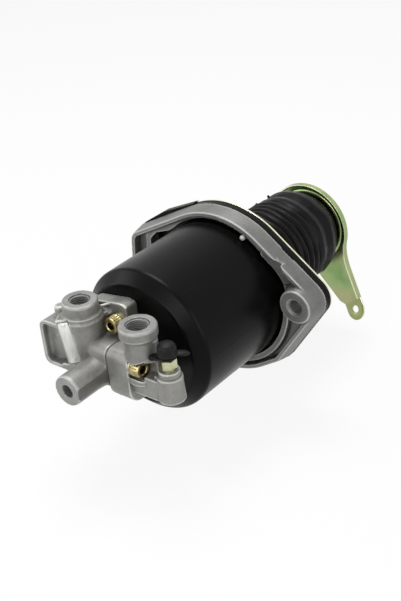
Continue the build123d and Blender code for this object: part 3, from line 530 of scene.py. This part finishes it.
hydraulicCasting = {
    "voxel": 0.5, "rounds": 6, "seam": 2.0,
    "flats": ((2, 42.0, (hydraulicX, portY, 42.0), 13.6),),
    "bores": ((2, 8.2, (hydraulicX, portY, 0), 28.0, 42.0, 9.1),),
    "rods": (  # web from the shelf up to the neck, and the bleed boss as a cone down through the arm
        ((hydraulicX + 4, portY + 3, 14), (hydraulicX + 4, portY + 3, 30), 8.5, 8.0, 48),
        ((bleedX, bleedY, -13.4), (bleedX, bleedY, 4.4), 10.4, 9.2, 48),
    ),
    "boxes": (  # the arm's filled root
        ((32.0, -142.0, -6.3), (24, 15.8, 14.2), 0, "Z"),
        ((42.0, -141.8, -5.0), (16, 15.6, 16.8), 0, "Z"),
    ),
}
flangeRamp = {
    "steps": 10, "start": 43.0, "sweep": 23.0, "reaches": (64.8, 67.4, 70.0, 72.6, 75.2),
    "limit": 65.9, "limitGain": 13.0, "back": -9.0, "front": -20.4, "fall": 6.5, "radius": 2.9, "sides": 24,
}


# rods side by side that fill the ramp where the collar's web runs out
def rampRods(s):
    for step in range(s["steps"]):
        part = step / (s["steps"] - 1)
        out = radians(s["start"] - s["sweep"] * part)
        for reach in s["reaches"]:
            if reach < s["limit"] + s["limitGain"] * part:
                foot = Vector((cos(out), 0, sin(out))) * reach
                back = foot + Vector((0, s["back"], 0))
                front = foot + Vector((0, s["front"] + s["fall"] * part, 0))
                yield back, front, s["radius"], s["radius"], s["sides"]


flangeCasting = {
    "voxel": 0.62, "rounds": 5,
    "flats": ((1, -7.5, (0, -7.5, 0), 100.0),),
    "bores": ((1, 5.5, (77.483, 0, 8.965), -24.0, -7.5, 5.5),
              (1, 5.5, (-77.483, 0, -8.965), -24.0, -7.5, 5.5)),
    "softer": (((60.0, -20.0, 41.0), 14.0, 8),),
    "rods": tuple(rampRods(flangeRamp)),
    "nubs": (((29.3, -20.6, 54.0), 2.4),),
}
makeCasting("valveCasting", "valve_housing", valveCasting)
makeCasting("hydraulicCasting", "hydraulic_housing", hydraulicCasting)
makeCasting("flangeCasting", "flange_ring", flangeCasting, cast=flangeAluminiumShaded)

# port threads: a helical ridge in each port, cut level at both ends; the flanks are shares of the pitch
threadForm = {"pitch": 1.5, "crestStart": 0.36, "crestEnd": 0.52, "rootStart": 0.88, "wall": 0.25}
airThread = {"core": 7.25, "root": 8.0, "steps": 40, "top": 45.0, "bottom": 32.3}
hydraulicThread = {"core": 8.25, "root": 9.0, "steps": 44, "top": 41.0, "bottom": 28.3}


def makeThread(name, x, s):
    bm = bmesh.new()
    core, root, steps, pitch = s["core"], s["root"], s["steps"], threadForm["pitch"]
    profile = ((root, 0), (core, threadForm["crestStart"] * pitch), (core, threadForm["crestEnd"] * pitch),
               (root, threadForm["rootStart"] * pitch), (root, pitch))
    verts = [bm.verts.new((radius, 0, height)) for radius, height in profile]
    edges = [bm.edges.new(pair) for pair in zip(verts, verts[1:])]
    turns = int((s["top"] - s["bottom"]) / pitch) + 2
    bmesh.ops.spin(bm, geom=verts + edges, cent=(0, 0, 0), axis=(0, 0, 1), angle=tau * turns,
                   dvec=(0, 0, pitch / steps), steps=turns * steps)
    bmesh.ops.remove_doubles(bm, verts=bm.verts, dist=0.01)
    bmesh.ops.translate(bm, verts=bm.verts, vec=(x, portY, s["bottom"] - pitch))
    for level, normal in ((s["top"], (0, 0, 1)), (s["bottom"], (0, 0, -1))):
        bmesh.ops.bisect_plane(bm, geom=bm.verts[:] + bm.edges[:] + bm.faces[:], dist=0.0001,
                               plane_co=(0, 0, level), plane_no=normal, clear_outer=True)
    bmesh.ops.recalc_face_normals(bm, faces=bm.faces)
    bmesh.ops.solidify(bm, geom=bm.faces[:], thickness=threadForm["wall"])
    makePiece(name, inMetres(bm), "housing", (machinedAluminium,))


makeThread("airPortThread", relayX, airThread)
makeThread("hydraulicPortThread", hydraulicX, hydraulicThread)

# stacked rings about a local axis: each ring is (radius, height, shape), where shape 0 is round, 6 a hexagon
# whose radius is half its flats, and a negative shape a knurl of that many teeth
knurlDepth = 0.035


def ringReach(shape, angle):
    if shape > 0:
        half = pi / shape
        return 1 / cos((angle + half) % (2 * half) - half)
    if shape < 0:
        return 1 + knurlDepth * cos(-shape * angle)
    return 1.0


def stackRings(rings, steps, place, bm):
    loop = bmesh.ops.create_circle(bm, cap_ends=True, segments=steps, radius=1)["verts"]
    everything = list(loop)
    edges = list(dict.fromkeys(edge for vert in loop for edge in vert.link_edges))
    for index, (radius, height, shape) in enumerate(rings):
        if index:
            grown = bmesh.ops.extrude_edge_only(bm, edges=edges)["geom"]
            loop = [g for g in grown if isinstance(g, bmesh.types.BMVert)]
            fresh = set(loop)
            edges = [g for g in grown if isinstance(g, bmesh.types.BMEdge) and set(g.verts) <= fresh]
            everything += loop
        for vert in loop:
            angle = atan2(vert.co.y, vert.co.x)
            reach = radius * ringReach(shape, angle)
            vert.co = Vector((reach * cos(angle), reach * sin(angle), height))
    bmesh.ops.contextual_create(bm, geom=edges)
    bmesh.ops.transform(bm, matrix=place, verts=everything)


# socket screws: heights count from the seat, over the knurled head and down into the hexagon socket,
# whose faces below darkBelow and within darkWithin of the axis take a near-black finish, painted shade in the
# socket
screwHead = {
    "steps": 72, "shank": 3.95, "darkBelow": 7.42, "darkWithin": 3.3,
    "rings": (
        (3.95, 0, 0), (5.8, 0.02, 0), (6.4025, 0.5, 0), (6.279, 0.9, -24), (6.279, 6.5, -24),
        (6.4025, 6.9, 0), (6.25, 7.5, 0), (5.8, 8.0, 0), (4.1, 8.0, 0), (3.55, 7.45, 0), (3.0, 7.4, 6),
        (3.0, 4.0, 6), (2.6, 3.95, 0), (0.4, 3.1, 0),
    ),
}
footScrews = {"seats": ((-5.0, -129.8, 27.0), (-5.0, -129.8, -27.0)), "direction": (0, -1, 0), "length": 22.5}
sideScrew = {"seats": ((24.3, -147.5, 8.0),), "direction": (1, 0, 0), "length": 35.0}


def makeScrews(name, node, s):
    bm = bmesh.new()
    rings = ((screwHead["shank"], -s["length"], 0),) + screwHead["rings"]
    direction = Vector(s["direction"])
    for seat in s["seats"]:
        before = set(bm.faces)
        stackRings(rings, screwHead["steps"], alongAxis(seat, direction), bm)
        for face in set(bm.faces) - before:
            out = face.calc_center_median() - Vector(seat)
            up = out.dot(direction)
            aside = (out - direction * up).length
            inSocket = 0 < up < screwHead["darkBelow"] and aside < screwHead["darkWithin"]
            face.material_index = int(inSocket)
    makePiece(name, inMetres(bm), "housing", (zincScrew, zincSocketShade), (node,), sharp=28.0)


makeScrews("footScrews", "housing_screws", footScrews)
makeScrews("sideScrew", "hydraulic_screw", sideScrew)

# bleed screw: hexagon with turned corners, neck groove and nipple, in heights over the boss
bleedShape = {
    "steps": 72,
    "rings": (
        (4.85, -17.9, 0), (4.85, 1.2, 0), (5.2, 1.5, 0), (5.45, 1.9, 6), (5.5, 2.1, 6), (5.5, 8.9, 6),
        (5.2, 9.3, 0), (4.6, 9.5, 0), (3.3, 9.5, 0), (3.2, 12.0, 0), (3.6, 12.8, 0), (3.6, 17.5, 0),
        (2.7, 19.5, 0), (1.2, 19.5, 0), (1.2, 12.0, 0),
    ),
}
bleeder = bmesh.new()
stackRings(bleedShape["rings"], bleedShape["steps"], Matrix.Translation((bleedX, bleedY, bossTop)), bleeder)
makePiece("bleedScrew", inMetres(bleeder), "bleeder", (greenZinc,), ("bleed_screw",),
          sharp=28.0)

# moulded rubber cap and strap, each with its pull tab; the cap's rings count from its foot
capShape = {
    "voxel": 0.28, "rounds": 3, "foot": 23.2, "steps": 64,
    "tabLevel": 24.9, "tabAngle": 40.0, "tabCentre": 10.2, "tab": (6.0, 3.5, 1.5), "tabDroop": 8.0,
    "rings": (
        (0.3, 7.9, 0), (3.4, 7.9, 0), (3.9, 7.4, 0), (3.9, 0.4, 0), (4.4, 0, 0), (7.0, 0, 0), (7.4, 0.5, 0),
        (7.4, 1.7, 0), (7.1, 2.4, 0), (7.0, 5.4, 0), (6.6, 7.2, 0), (5.6, 8.6, 0), (4.0, 9.4, 0),
        (2.0, 9.8, 0), (0.3, 9.9, 0),
    ),
}
strapShape = {
    "voxel": 0.25, "rounds": 2,
    "tabLevel": 21.3, "tabAngle": 209.0, "tabCentre": 8.9, "tab": (5.0, 4.3, 1.3), "tabDroop": 4.0,
}


def makeMoulded(name, node, body, bm, s):
    turn = Matrix.Rotation(radians(s["tabAngle"]), 4, "Z") @ Matrix.Rotation(radians(s["tabDroop"]), 4, "Y")
    centre = Vector((bleedX, bleedY, s["tabLevel"])) + turn @ Vector((s["tabCentre"], 0, 0))
    place = Matrix.Translation(centre) @ turn @ Matrix.Diagonal((*s["tab"], 1))
    bmesh.ops.create_icosphere(bm, subdivisions=4, radius=1, matrix=place)
    bm = skinOver(bm, s["voxel"])
    smoothVerts(bm, bm.verts[:], s["rounds"])
    makePiece(name, inMetres(bm), body, (capRubber,), (node,), sharp=60.0)


cap = bmesh.new()
stackRings(capShape["rings"], capShape["steps"], Matrix.Translation((bleedX, bleedY, capShape["foot"])), cap)
makeMoulded("dustCap", "dust_cap", "cap", cap, capShape)
makeMoulded("capStrap", "cap_strap", "housing", nodeCopy("cap_strap"), strapShape)
print("clutch servo: castings, screws and cap made")


def spinProfile(points, steps):
    bm = bmesh.new()
    verts = [bm.verts.new((radius, y, 0)) for radius, y in points]
    edges = [bm.edges.new(pair) for pair in zip(verts, verts[1:] + verts[:1])]
    bmesh.ops.spin(bm, geom=verts + edges, cent=(0, 0, 0), axis=(0, 1, 0), angle=tau, steps=steps,
                   use_merge=True)
    return bm


# boot: cuff, tight folds, two wide waves and the neck that holds the end ring; tail and bead give radii by y
bootShape = {
    "steps": 132, "front": -0.75, "rise": 0.55, "rows": 202, "wall": 2.2, "cuff": 36.5, "cuffRise": 2.0,
    "foldStart": 6.0, "foldEnd": 68.0, "folds": 9, "foldPower": 0.75, "peak": 40.5, "valley": 37.3,
    "tail": ((68, 37.3), (71, 39.2), (75, 39.9), (79, 38.9), (82, 37.8), (85, 38.7), (89, 39.5), (92, 39.0),
             (94, 38.4), (97, 37.1), (100, 35.2), (103, 33.1), (106, 31.0), (108.6, 29.3), (110.3, 27.9)),
    "bead": ((27.9, 111.9), (29.4, 112.0), (29.6, 112.6), (28.4, 114.6), (27.6, 115.0), (25.3, 115.0),
             (24.9, 114.4), (24.9, 110.8)),
    "seat": 34.15, "seatRows": (-0.75, 2.0, 4.2, 5.9), "innerFrom": 7.5, "innerTo": 108.5,
    "smoothFrom": 7, "smoothTo": 106, "smoothing": 0.4,
}
# wrinkles: each pattern is (turns round the boot, shift, turns along it); they fade out at both ends
wrinkles = {
    "around": 1.7, "fadeFrom": 6, "fadeIn": 4, "fadeTo": 106, "fadeOut": 8,
    "fine": (3.2, (0, 0), 0.14), "broad": (1.0, (4.0, 0), 0.045), "crease": (1.6, (9.0, 3.0), 0.07),
    "sway": (0.9, (0, 7.0), 0.02), "depth": 0.45, "broadShare": 1.2, "creaseDepth": 0.45,
    "foldCrease": 0.6, "tailCrease": 1.5, "swayReach": 1.6,
}
bootNubs = {"rows": (88.6, 71.5), "out": (-0.657, 0, 0.753), "sunk": 0.6, "height": 2.2, "foot": 1.3,
            "tip": 0.9, "steps": 16}


def bootRadius(s, y):
    if y <= s["foldStart"]:
        lift = max(0.0, (y - s["foldStart"] + s["cuffRise"]) / s["cuffRise"])
        return s["cuff"] + (s["valley"] - s["cuff"]) * lift
    if y < s["foldEnd"]:
        part = (y - s["foldStart"]) / (s["foldEnd"] - s["foldStart"]) * s["folds"]
        return s["valley"] + (s["peak"] - s["valley"]) * abs(sin(pi * part)) ** s["foldPower"]
    for (y0, r0), (y1, r1) in zip(s["tail"], s["tail"][1:]):
        if y <= y1:
            return r0 + (r1 - r0) * (y - y0) / (y1 - y0)
    return s["tail"][-1][1]


def wrinkleVert(vert, w, foldEnd):
    y = vert.co.y
    fade = max(0.0, min(1.0, (y - w["fadeFrom"]) / w["fadeIn"], (w["fadeTo"] - y) / w["fadeOut"]))
    angle = atan2(vert.co.z, vert.co.x)
    ring = Vector((cos(angle) * w["around"], sin(angle) * w["around"], 0))
    fine, broad, crease, sway = (
        noise.noise(ring * across + Vector((*shift, y * along)))
        for across, shift, along in (w["fine"], w["broad"], w["crease"], w["sway"]))
    deep = w["tailCrease"] if y > foldEnd else w["foldCrease"]
    swell = w["depth"] * (fine + w["broadShare"] * broad) - w["creaseDepth"] * abs(crease) * deep
    vert.co += Vector((vert.co.x, 0, vert.co.z)).normalized() * fade * swell
    vert.co.y += fade * w["swayReach"] * sway


def makeBoot(s):
    rows = [s["front"] + s["rise"] * i for i in range(s["rows"])]
    outer = [(bootRadius(s, y), y) for y in rows]
    inner = [(s["seat"], y) for y in s["seatRows"]]
    inner += [(r - s["wall"], y) for r, y in outer[::2] if s["innerFrom"] < y < s["innerTo"]]
    bm = spinProfile(outer + list(s["bead"]) + inner[::-1], s["steps"])
    for vert in bm.verts:
        wrinkleVert(vert, wrinkles, s["foldEnd"])
    loose = [vert for vert in bm.verts if s["smoothFrom"] < vert.co.y < s["smoothTo"]]
    smoothVerts(bm, loose, 1, s["smoothing"])
    n = bootNubs
    out = Vector(n["out"])
    for y in n["rows"]:
        foot = Vector((0, y, 0)) + out * (bootRadius(s, y) - n["sunk"])
        addRod(bm, foot, foot + out * n["height"], n["foot"], n["tip"], n["steps"])
    return makePiece("rubberBoot", inMetres(bm), None, (bootRubber,), ("boot",), sharp=70.0)


rubberBoot = makeBoot(bootShape)
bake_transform(rubberBoot)
print("clutch servo: boot made")

# end ring: one pressed sheet with a lip round the dish and down the arm, and a bent tongue; pairs are (x, z)
ringShape = {
    "back": 111.9, "thick": 1.5, "radius": 38.2, "hole": 28.0, "fit": 0.02, "lip": 5.1, "rounding": 0.3,
    "rootAngle": -91.5, "leave": -12.0, "arrive": (40.9, -34.5), "pull": 9.0,
    "armLeft": (29.0, -69.0), "bendLeft": (34.6, -71.2), "bendRight": (50.2, -59.2), "bend": -20.0,
    "tongue": 8.0, "tipRadius": 9.8, "tipHole": 3.2,
    "dishSteps": 120, "armSteps": 14, "tipSteps": 24, "holeSteps": 96, "tipHoleSteps": 32,
    "bead": ((0, 0.4), (0, -0.6), (0.4, -0.95), (3.0, -1.05), (4.4, -0.8), (5.2, -0.1), (5.4, 0.4)),
}


def bezier(points, steps):
    a, b, c, d = (Vector(p) for p in points)
    for i in range(steps + 1):
        t = i / steps
        yield a * (1 - t) ** 3 + b * 3 * t * (1 - t) ** 2 + c * 3 * t * t * (1 - t) + d * t ** 3


def arcPoints(centre, radius, start, end, steps):
    for i in range(steps + 1):
        angle = start + (end - start) * i / steps
        yield Vector(centre) + radius * Vector((cos(angle), sin(angle)))


def holePoints(centre, radius, steps):
    return arcPoints(centre, radius, 0, tau * (1 - 1 / steps), steps - 1)


def addLoop(bm, points, level):
    verts = [bm.verts.new((p.x, level, p.y)) for p in points]
    return [bm.edges.new(pair) for pair in zip(verts, verts[1:] + verts[:1])]


def makeRing(s):
    # outline: clockwise round the dish, down the arm's right edge, round the tongue and up the left edge
    leave = radians(s["leave"])
    dish = list(arcPoints((0, 0), s["radius"], radians(s["rootAngle"]), leave - tau, s["dishSteps"]))
    bendLeft, bendRight, arrive = (Vector(s[k]) for k in ("bendLeft", "bendRight", "arrive"))
    leaveWay = Vector((sin(leave), -cos(leave)))
    armWay = (bendRight - arrive).normalized()
    handles = (dish[-1], dish[-1] + s["pull"] * leaveWay, arrive - s["pull"] * armWay, arrive)
    side = list(bezier(handles, s["armSteps"]))[1:] + [bendRight]
    along = (bendRight - bendLeft).normalized()
    outward = Vector((along.y, -along.x))
    tip = (bendLeft + bendRight) / 2 + outward * s["tongue"]
    right = atan2(along.y, along.x)
    tongue = list(arcPoints(tip, s["tipRadius"], right, right - pi, s["tipSteps"]))
    bm = bmesh.new()
    edges = addLoop(bm, dish + side + tongue + [bendLeft, Vector(s["armLeft"])], s["back"])
    lipEdges = edges[:len(dish) + len(side) - 1]
    edges += addLoop(bm, holePoints((0, 0), s["hole"] + s["fit"], s["holeSteps"]), s["back"])
    edges += addLoop(bm, holePoints(tip, s["tipHole"], s["tipHoleSteps"]), s["back"])
    bmesh.ops.triangle_fill(bm, edges=edges, use_beauty=True, normal=(0, 1, 0))
    # tongue: the sheet is cut along the bend, and what lies beyond is turned about it
    middle = Vector((bendLeft.x, s["back"], bendLeft.y))
    outward3 = Vector((outward.x, 0, outward.y))
    bmesh.ops.bisect_plane(bm, geom=bm.verts[:] + bm.edges[:] + bm.faces[:], dist=0.001, plane_co=middle,
                           plane_no=outward3)
    beyond = [vert for vert in bm.verts if (vert.co - middle).dot(outward3) > 0.01]
    fromBend = {vert for vert in bm.verts if (vert.co - middle).dot(outward3) > -0.02}
    # faces from the bend on take the darker tongue zinc, which is painted shade
    for face in bm.faces:
        face.material_index = 2 * int(all(vert in fromBend for vert in face.verts))
    turn = Matrix.Rotation(radians(s["bend"]), 4, Vector((along.x, 0, along.y)))
    place = Matrix.Translation(middle)
    bmesh.ops.transform(bm, matrix=place @ turn @ place.inverted(), verts=beyond)
    grown = bmesh.ops.extrude_edge_only(bm, edges=[edge for edge in lipEdges if edge.is_valid])["geom"]
    lipVerts = [g for g in grown if isinstance(g, bmesh.types.BMVert)]
    bmesh.ops.translate(bm, verts=lipVerts, vec=(0, -s["lip"], 0))
    finishes = (zincPlate, zincEdgeHighlight, zincTongueShade, zincEdgeHighlight)
    piece = makePiece("endRing", inMetres(bm), "ring", finishes, ("end_ring",), sharp=14.0)
    sheet = piece.modifiers.new("sheet", "SOLIDIFY")
    sheet.thickness = s["thick"] * mm
    sheet.offset = -1 if piece.data.polygons[0].normal.y > 0 else 1
    sheet.use_even_offset = True
    # rim faces take the next finish, the pale edge zinc: worn edges with a painted highlight
    sheet.material_offset_rim = 1
    rounding = piece.modifiers.new("rounding", "BEVEL")
    rounding.width = s["rounding"] * mm
    rounding.segments = 2
    rounding.limit_method = "ANGLE"
    rounding.angle_limit = radians(35)


def makeRingBead(s):
    # raised bead round the hole, where the boot's neck is held
    front = s["back"] - s["thick"]
    bm = spinProfile([(s["hole"] + out, front + level) for out, level in s["bead"]], s["dishSteps"])
    makePiece("ringBead", inMetres(bm), "ring", (zincPlate,), sharp=40.0)


makeRing(ringShape)
makeRingBead(ringShape)
print("clutch servo: end ring made")

# springs: a wire circle spun up its helix
springSteps = {"wire": 14, "turn": 44}
preloadShape = {
    "start": (0, -104.5, 0), "along": (0, 1, 0), "radius": 31.0, "wire": 2.2, "length": 91.4, "turns": 7,
}
relayShape = {
    "start": (relayX, portY, 4.0), "along": (0, 0, 1), "radius": 6.0, "wire": 0.7, "length": 13.0, "turns": 4,
}


def makeSpring(name, node, s):
    bm = bmesh.new()
    place = Matrix.Translation((s["radius"], 0, 0)) @ Matrix.Rotation(pi / 2, 4, "X")
    ring = bmesh.ops.create_circle(bm, segments=springSteps["wire"], radius=s["wire"], matrix=place)["verts"]
    edges = list(dict.fromkeys(edge for vert in ring for edge in vert.link_edges))
    steps = s["turns"] * springSteps["turn"]
    bmesh.ops.spin(bm, geom=ring + edges, cent=(0, 0, 0), axis=(0, 0, 1), angle=tau * s["turns"],
                   dvec=(0, 0, s["length"] / steps), steps=steps)
    bmesh.ops.holes_fill(bm, edges=[edge for edge in bm.edges if edge.is_boundary], sides=0)
    bmesh.ops.transform(bm, matrix=alongAxis(s["start"], s["along"]), verts=bm.verts)
    return makePiece(name, inMetres(bm), None, (springSteel,), (node,), sharp=40.0)


preloadCoil = makeSpring("preloadCoil", "preload_spring", preloadShape)
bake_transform(preloadCoil)
relayCoil = makeSpring("relayCoil", "relay_spring", relayShape)
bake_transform(relayCoil)
print("clutch servo: springs made")

# pressed and cut plates: a merged copy with its flats joined and its sharp edges rounded
plateEdges = {"flatAngle": 0.5, "edgeAngle": 35, "segments": 2, "sideBelow": 0.8}


def makeRounded(name, node, finish, width, edgeFinishAndHighlight=None):
    s = plateEdges
    bm = nodeCopy(node)
    bmesh.ops.dissolve_limit(bm, angle_limit=radians(s["flatAngle"]), use_dissolve_boundaries=False,
                             verts=bm.verts, edges=bm.edges)
    bm.normal_update()
    edges = [e for e in bm.edges if e.is_manifold and e.calc_face_angle(0) > radians(s["edgeAngle"])]
    bmesh.ops.bevel(bm, geom=edges, offset=width, offset_type="OFFSET", segments=s["segments"], profile=0.5,
                    affect="EDGES", clamp_overlap=True, material=-1)
    # side faces take the pale edge zinc: worn edges with a painted highlight
    if edgeFinishAndHighlight:
        for face in bm.faces:
            face.material_index = int(abs(face.normal.y) < s["sideBelow"])
    makePiece(name, inMetres(bm), "housing", (finish, edgeFinishAndHighlight or finish), (node,), sharp=30.0)


makeRounded("gasketLayer", "rim_gasket", gasketRubber, 0.3)
makeRounded("coverPlate", "rear_cover", zincPlate, 0.3, edgeFinishAndHighlight=zincEdgeHighlight)
makeRounded("plate", "nameplate", brushedPlate, 0.25)
print("clutch servo: plates made")

# stage, in metres: pale floor and backdrop, seen as white, and soft lamps as (name, place, size, power)
stageSettings = {"floorLevel": -0.096, "size": 6.0, "colour": (0.9, 0.9, 0.9), "rough": 0.9,
                 "whiteShare": 0.88, "fill": 0.25}
lampAim = (0, -0.03, 0)
lampSettings = (
    ("topLamp", (-0.25, 0.1, 1.2), 0.6, 11.0),
    ("leftLamp", (-1.15, -0.8, 0.5), 0.8, 5.0),
    ("rightLamp", (1.2, -0.2, 0.4), 0.8, 3.5),
    ("frontLamp", (0.3, -1.3, 0.5), 0.7, 6.0),
)


def seenAsWhite(tree, shaded, share):
    path = tree.nodes.new("ShaderNodeLightPath")
    glow = tree.nodes.new("ShaderNodeEmission")
    glow.inputs["Color"].default_value = (1, 1, 1, 1)
    seen = path.outputs["Is Camera Ray"]
    for ray in ("Is Glossy Ray", "Is Transmission Ray"):
        either = tree.nodes.new("ShaderNodeMath")
        either.operation = "MAXIMUM"
        tree.links.new(seen, either.inputs[0])
        tree.links.new(path.outputs[ray], either.inputs[1])
        seen = either.outputs[0]
    part = tree.nodes.new("ShaderNodeMath")
    part.operation = "MULTIPLY"
    part.inputs[1].default_value = share
    tree.links.new(seen, part.inputs[0])
    mix = tree.nodes.new("ShaderNodeMixShader")
    tree.links.new(part.outputs[0], mix.inputs[0])
    tree.links.new(shaded, mix.inputs[1])
    tree.links.new(glow.outputs[0], mix.inputs[2])
    return mix.outputs[0]


def makeFloor(s):
    bm = bmesh.new()
    bmesh.ops.create_grid(bm, x_segments=1, y_segments=1, size=s["size"] / 2)
    bmesh.ops.translate(bm, verts=bm.verts, vec=(0, 0, s["floorLevel"]))
    mesh = bpy.data.meshes.new("studioFloor")
    bm.to_mesh(mesh)
    bm.free()
    floor = bpy.data.objects.new("studioFloor", mesh)
    bpy.context.scene.collection.objects.link(floor)
    material, tree, shader, _ = newMaterial("studioPaper")
    shader.inputs["Base Color"].default_value = (*s["colour"], 1)
    shader.inputs["Roughness"].default_value = s["rough"]
    output = tree.nodes["Material Output"]
    tree.links.new(seenAsWhite(tree, shader.outputs[0], s["whiteShare"]), output.inputs["Surface"])
    mesh.materials.append(material)


def makeBackdrop(s):
    world = bpy.data.worlds.new("studioWorld")
    world.use_nodes = True
    bpy.context.scene.world = world
    tree = world.node_tree
    backdrop = tree.nodes["Background"]
    backdrop.inputs["Strength"].default_value = s["fill"]
    backdrop.inputs["Color"].default_value = (1, 1, 1, 1)
    output = tree.nodes["World Output"]
    tree.links.new(seenAsWhite(tree, backdrop.outputs[0], 1.0), output.inputs["Surface"])


def makeLamps(lamps):
    for name, place, size, power in lamps:
        data = bpy.data.lights.new(name, "AREA")
        data.size = size
        data.energy = power
        lamp = bpy.data.objects.new(name, data)
        lamp.location = place
        lamp.rotation_euler = (Vector(lampAim) - Vector(place)).to_track_quat("-Z", "Y").to_euler()
        bpy.context.scene.collection.objects.link(lamp)


makeFloor(stageSettings)
makeBackdrop(stageSettings)
makeLamps(lampSettings)
bpy.context.scene.view_settings.view_transform = "Standard"
print("clutch servo: stage and lamps set")
